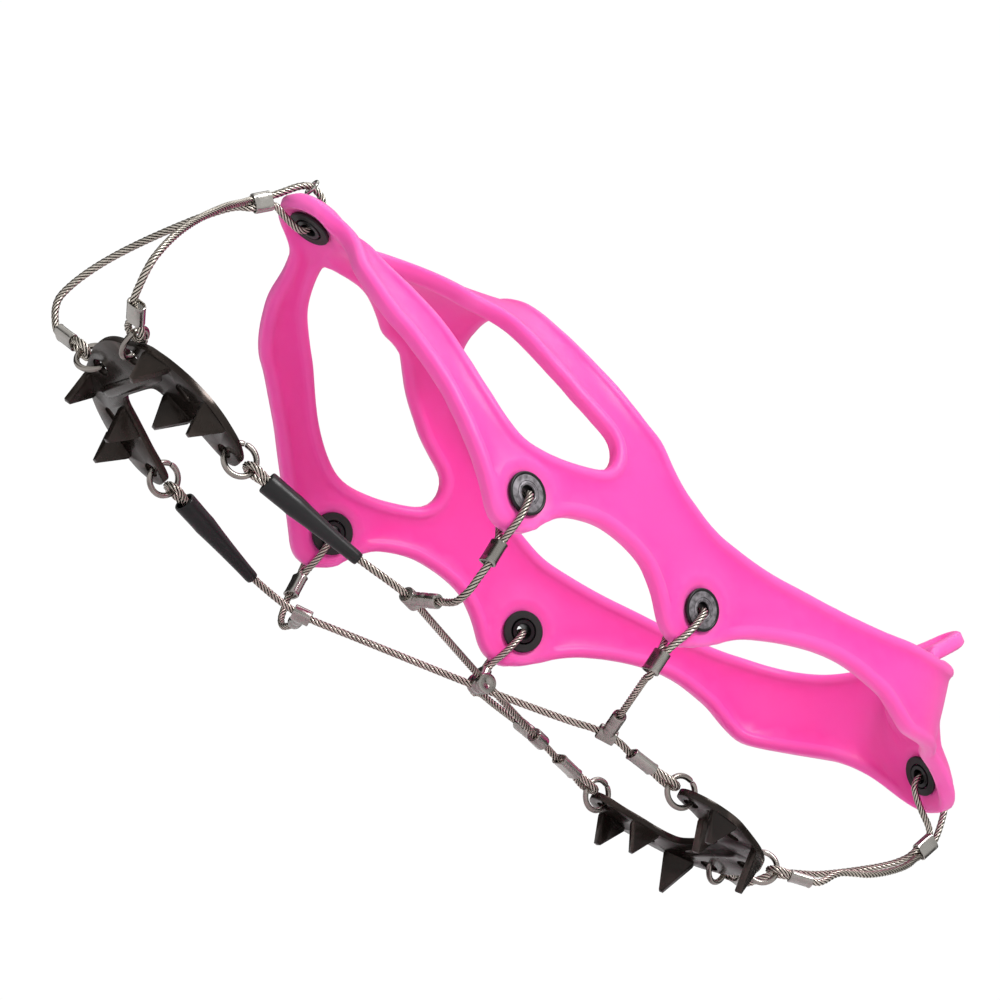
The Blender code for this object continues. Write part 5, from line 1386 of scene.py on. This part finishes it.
def side_cable(end, side, sign):
    """From a T clamp up to the side eyelet, looped back into its ferrule."""
    key = f"{end}_{side}"
    aim, way, low, high = SIDE_CABLES[end]
    at, ahead, behind = tee_seat(end, side, sign)
    stem = unit(on_side(aim, sign) - at)
    tee_clamp("t_clamp_" + key, at, ahead, behind, stem)
    low, high = on_side(low, sign), on_side(high, sign)
    axis = EYELET_FRAMES[key][1]
    along = unit(high - low)
    pair = unit(axis - along * (axis @ along))
    curve = catmull([at + stem * (TEE_LEN + 0.6)] + [on_side(p, sign) for p in way]
                    + [low - along * 1.2 + pair * PAIR], 3.0)
    inset = along * 0.8
    path = ([at + stem * 2.6] + list(curve)
            + [low + inset + pair * PAIR, high + inset + pair * PAIR]
            + eyelet_loop(key, high, reach=7.6)
            + [high + inset - pair * PAIR, low + inset - pair * PAIR])
    wire_rope("side_cable_" + key, path)
    ferrule("side_ferrule_" + key, low, high, pair, out_r=SIDE_FERRULE_OUT_R)


def end_cable(end):
    """From one edge ring of a plate up through the toe or heel eyelet and back to the other."""
    cable = END_CABLES[end]
    low, high = np.array(cable["low"]), np.array(cable["high"])
    along = unit(high - low)
    axis = EYELET_FRAMES[end][1]
    pair = unit(axis - along * (axis @ along))
    halves = []
    for side, sign in SIDES:
        hook = HOOKS[f"{end}_{side}"]
        points, pull, across = eye(*hook, EYE_FERRULE_AT, SIDE_FERRULE_LEN - 1.0)
        start = hook[0] + pull * EYE_FERRULE_AT
        ferrule(f"{end}_eye_ferrule_{side}", start, start + pull * SIDE_FERRULE_LEN, across)
        leaving = start + pull * (SIDE_FERRULE_LEN - 0.4) + across * PAIR
        after = start + pull * (SIDE_FERRULE_LEN + 2.0) + across * PAIR * 0.7
        way = [on_side(p, sign) for p in cable["way"]]
        way[0][1] += cable["shift"]
        offset = pair * (PAIR * sign)
        curve = catmull([after] + way + [low - along * 0.9 + offset], 7.0)
        halves.append(points + [leaving] + list(curve)
                      + [low + along * 1.0 + offset, high + along * 0.9 + offset])
    loop = eyelet_loop(end, high, reach=7.2, rise=cable["rise"], below=cable["below"])
    wire_rope(end + "_cable", halves[0] + loop + halves[1][::-1])
    ferrule(end + "_ferrule", low, high, pair)
    if end == "toe":
        keeper_ring(loop)


def find_hooks():
    """Plate hole, pull direction and plate normal for every split ring."""
    hooks = {}
    for side, sign in SIDES:
        for end, frame in FRAMES.items():
            a, b = PLATES[end]["leg_hole"]
            hole = frame.at(a, sign * b)
            hooks[f"{end}_{side}"] = hole, unit(on_side(LEG_AIMS[end], sign) - hole), frame.up
    for side, sign in SIDES:
        for end, cable in (("front", "toe"), ("rear", "heel")):
            frame = FRAMES[end]
            a, b = PLATES[end]["edge_hole"]
            pull = frame.direction(*on_side(PLATES[end]["edge_pull"], sign))
            hooks[f"{cable}_{side}"] = frame.at(a, sign * b), pull, frame.up
    return hooks


# ------------------------------------------------------------------ build
harness()
for eyelet_name in EYELETS:
    eyelet(eyelet_name)
for plate_end in PLATES:
    spike_plate(plate_end)
HOOKS = find_hooks()
for hook_name, hook_place in HOOKS.items():
    split_ring("ring_" + hook_name, *hook_place)
for side_name, side_sign in SIDES:
    long_cable(side_name, side_sign)
centre_clamp()
for cable_end in SIDE_CABLES:
    for side_name, side_sign in SIDES:
        side_cable(cable_end, side_name, side_sign)
for cable_end in END_CABLES:
    end_cable(cable_end)
VISUAL_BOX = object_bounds()


# ------------------------------------------------------------------ floor (metres from here on)
FLOOR_HALF = 4.0
FLOOR_DROP = 0.0006      # below the lowest point


def box_list(box):
    return [[float(x) for x in corner] for corner in (box[0], box[1])]


def floor_material():
    """Matt white that shows from above only, so a camera below sees the underside."""
    material, tree, shader = new_material("floor_look")
    set_inputs(shader, Roughness=0.9)
    feed(tree, shader, Base_Color=ramp(tree, noise(tree, scale=3.0),
                                       [(0.3, (0.86, 0.86, 0.86)), (0.7, (0.9, 0.9, 0.9))]))
    output = next(n for n in tree.nodes if n.type == "OUTPUT_MATERIAL")
    geometry = tree.nodes.new("ShaderNodeNewGeometry")
    clear = tree.nodes.new("ShaderNodeBsdfTransparent")
    mixer = tree.nodes.new("ShaderNodeMixShader")
    feed(tree, mixer, Fac=geometry.outputs["Backfacing"])
    tree.links.new(shader.outputs["BSDF"], mixer.inputs[1])
    tree.links.new(clear.outputs["BSDF"], mixer.inputs[2])
    feed(tree, output, Surface=mixer.outputs["Shader"])
    return material


def add_floor():
    z = box_list(VISUAL_BOX)[0][2] - FLOOR_DROP
    corners = ((-1, -1), (1, -1), (1, 1), (-1, 1))
    mesh = bpy.data.meshes.new("floor")
    mesh.from_pydata([(x * FLOOR_HALF, y * FLOOR_HALF, z) for x, y in corners],
                     [], [(0, 1, 2, 3)])
    floor = add_object("floor", mesh)
    mesh.materials.append(floor_material())


add_floor()
bpy.context.scene.view_settings.view_transform = "Standard"

# ------------------------------------------------------------------ view directions
AZIMUTH, ELEVATION, ROLL = radians(25.32), radians(-18.96), radians(23.4)
TO_CAMERA = np.array([sin(AZIMUTH) * cos(ELEVATION), cos(AZIMUTH) * cos(ELEVATION),
                      sin(ELEVATION)])
LEVEL_RIGHT = unit(np.cross((0, 0, 1.0), TO_CAMERA))
LEVEL_UP = np.cross(TO_CAMERA, LEVEL_RIGHT)
RIGHT = cos(ROLL) * LEVEL_RIGHT + sin(ROLL) * LEVEL_UP
UP = -sin(ROLL) * LEVEL_RIGHT + cos(ROLL) * LEVEL_UP
TARGET = np.array([0.140, 0.0, 0.030]) - ORIGIN * MM


def view_direction(right, up, near):
    return right * RIGHT + up * UP + near * TO_CAMERA


# ------------------------------------------------------------------ world
def studio_world():
    """White behind the object, soft white light on it, and a bright and a dark side for
    reflections, so that polished metal keeps its contrast."""
    world = bpy.data.worlds.new("studio")
    bpy.context.scene.world = world
    world.use_nodes = True
    tree = world.node_tree
    soft = tree.nodes["Background"]
    set_inputs(soft, Color=(1.0, 0.99, 1.0, 1), Strength=0.46)
    white = tree.nodes.new("ShaderNodeBackground")
    set_inputs(white, Color=(1, 1, 1, 1), Strength=1.02)
    mirror = tree.nodes.new("ShaderNodeBackground")
    set_inputs(mirror, Strength=1.0)
    place = tree.nodes.new("ShaderNodeTexCoord")
    dot = tree.nodes.new("ShaderNodeVectorMath")
    dot.operation = "DOT_PRODUCT"
    dot.inputs[1].default_value = tuple(unit(view_direction(right=0.45, up=0.80, near=0.25)))
    tree.links.new(place.outputs["Generated"], dot.inputs[0])
    share = tree.nodes.new("ShaderNodeMapRange")
    set_inputs(share, From_Min=-1.0, From_Max=1.0)
    feed(tree, share, Value=dot.outputs["Value"])
    # from the dark side (0) to the bright side (1)
    feed(tree, mirror, Color=ramp(tree, share.outputs["Result"], [
        (0.0, (0.05, 0.045, 0.045)), (0.22, (0.012, 0.012, 0.012)),
        (0.52, (0.05, 0.047, 0.045)), (0.63, (0.16, 0.155, 0.15)), (0.73, (0.70, 0.70, 0.69)),
        (0.84, (0.95, 0.95, 0.94)), (1.0, (0.25, 0.25, 0.26))]))
    rays = tree.nodes.new("ShaderNodeLightPath")
    lighting = tree.nodes.new("ShaderNodeMixShader")
    result = tree.nodes.new("ShaderNodeMixShader")
    feed(tree, lighting, Fac=rays.outputs["Is Glossy Ray"])
    tree.links.new(soft.outputs["Background"], lighting.inputs[1])
    tree.links.new(mirror.outputs["Background"], lighting.inputs[2])
    feed(tree, result, Fac=rays.outputs["Is Camera Ray"])
    tree.links.new(lighting.outputs["Shader"], result.inputs[1])
    tree.links.new(white.outputs["Background"], result.inputs[2])
    output = next(n for n in tree.nodes if n.type == "OUTPUT_WORLD")
    feed(tree, output, Surface=result.outputs["Shader"])


studio_world()


# ------------------------------------------------------------------ lamps and camera
def area(name, direction, distance, size, power):
    """Soft square lamp that faces the object."""
    direction = unit(direction)
    lamp = bpy.data.lights.new(name, "AREA")
    lamp.energy, lamp.size = power, size
    ob = bpy.data.objects.new(name, lamp)
    ob.location = Vector(TARGET + direction * distance)
    ob.rotation_euler = Vector(-direction).to_track_quat("-Z", "Y").to_euler()
    bpy.context.scene.collection.objects.link(ob)


area("key", view_direction(right=0.80, up=0.95, near=0.55), distance=1.3, size=0.45, power=11.5)
area("fill", view_direction(right=-0.95, up=0.15, near=0.42), distance=1.3, size=0.6, power=2.2)
area("low", view_direction(right=-0.85, up=-0.75, near=0.35), distance=1.2, size=0.25, power=0.9)
area("top", (0.0, 0.0, 1.0), distance=1.4, size=1.0, power=5.0)


def add_camera():
    lens = bpy.data.cameras.new("camera")
    lens.sensor_width = 36.0
    lens.lens = 112.2678
    lens.clip_start, lens.clip_end = 0.01, 20.0
    camera = bpy.data.objects.new("camera", lens)
    position = TARGET + view_direction(right=0.0032, up=0.0139, near=0.75462)
    rows = [(*row, p) for row, p in zip(np.stack([RIGHT, UP, TO_CAMERA], 1), position)]
    camera.matrix_world = Matrix((*rows, (0, 0, 0, 1)))
    bpy.context.scene.collection.objects.link(camera)
    bpy.context.scene.camera = camera


add_camera()
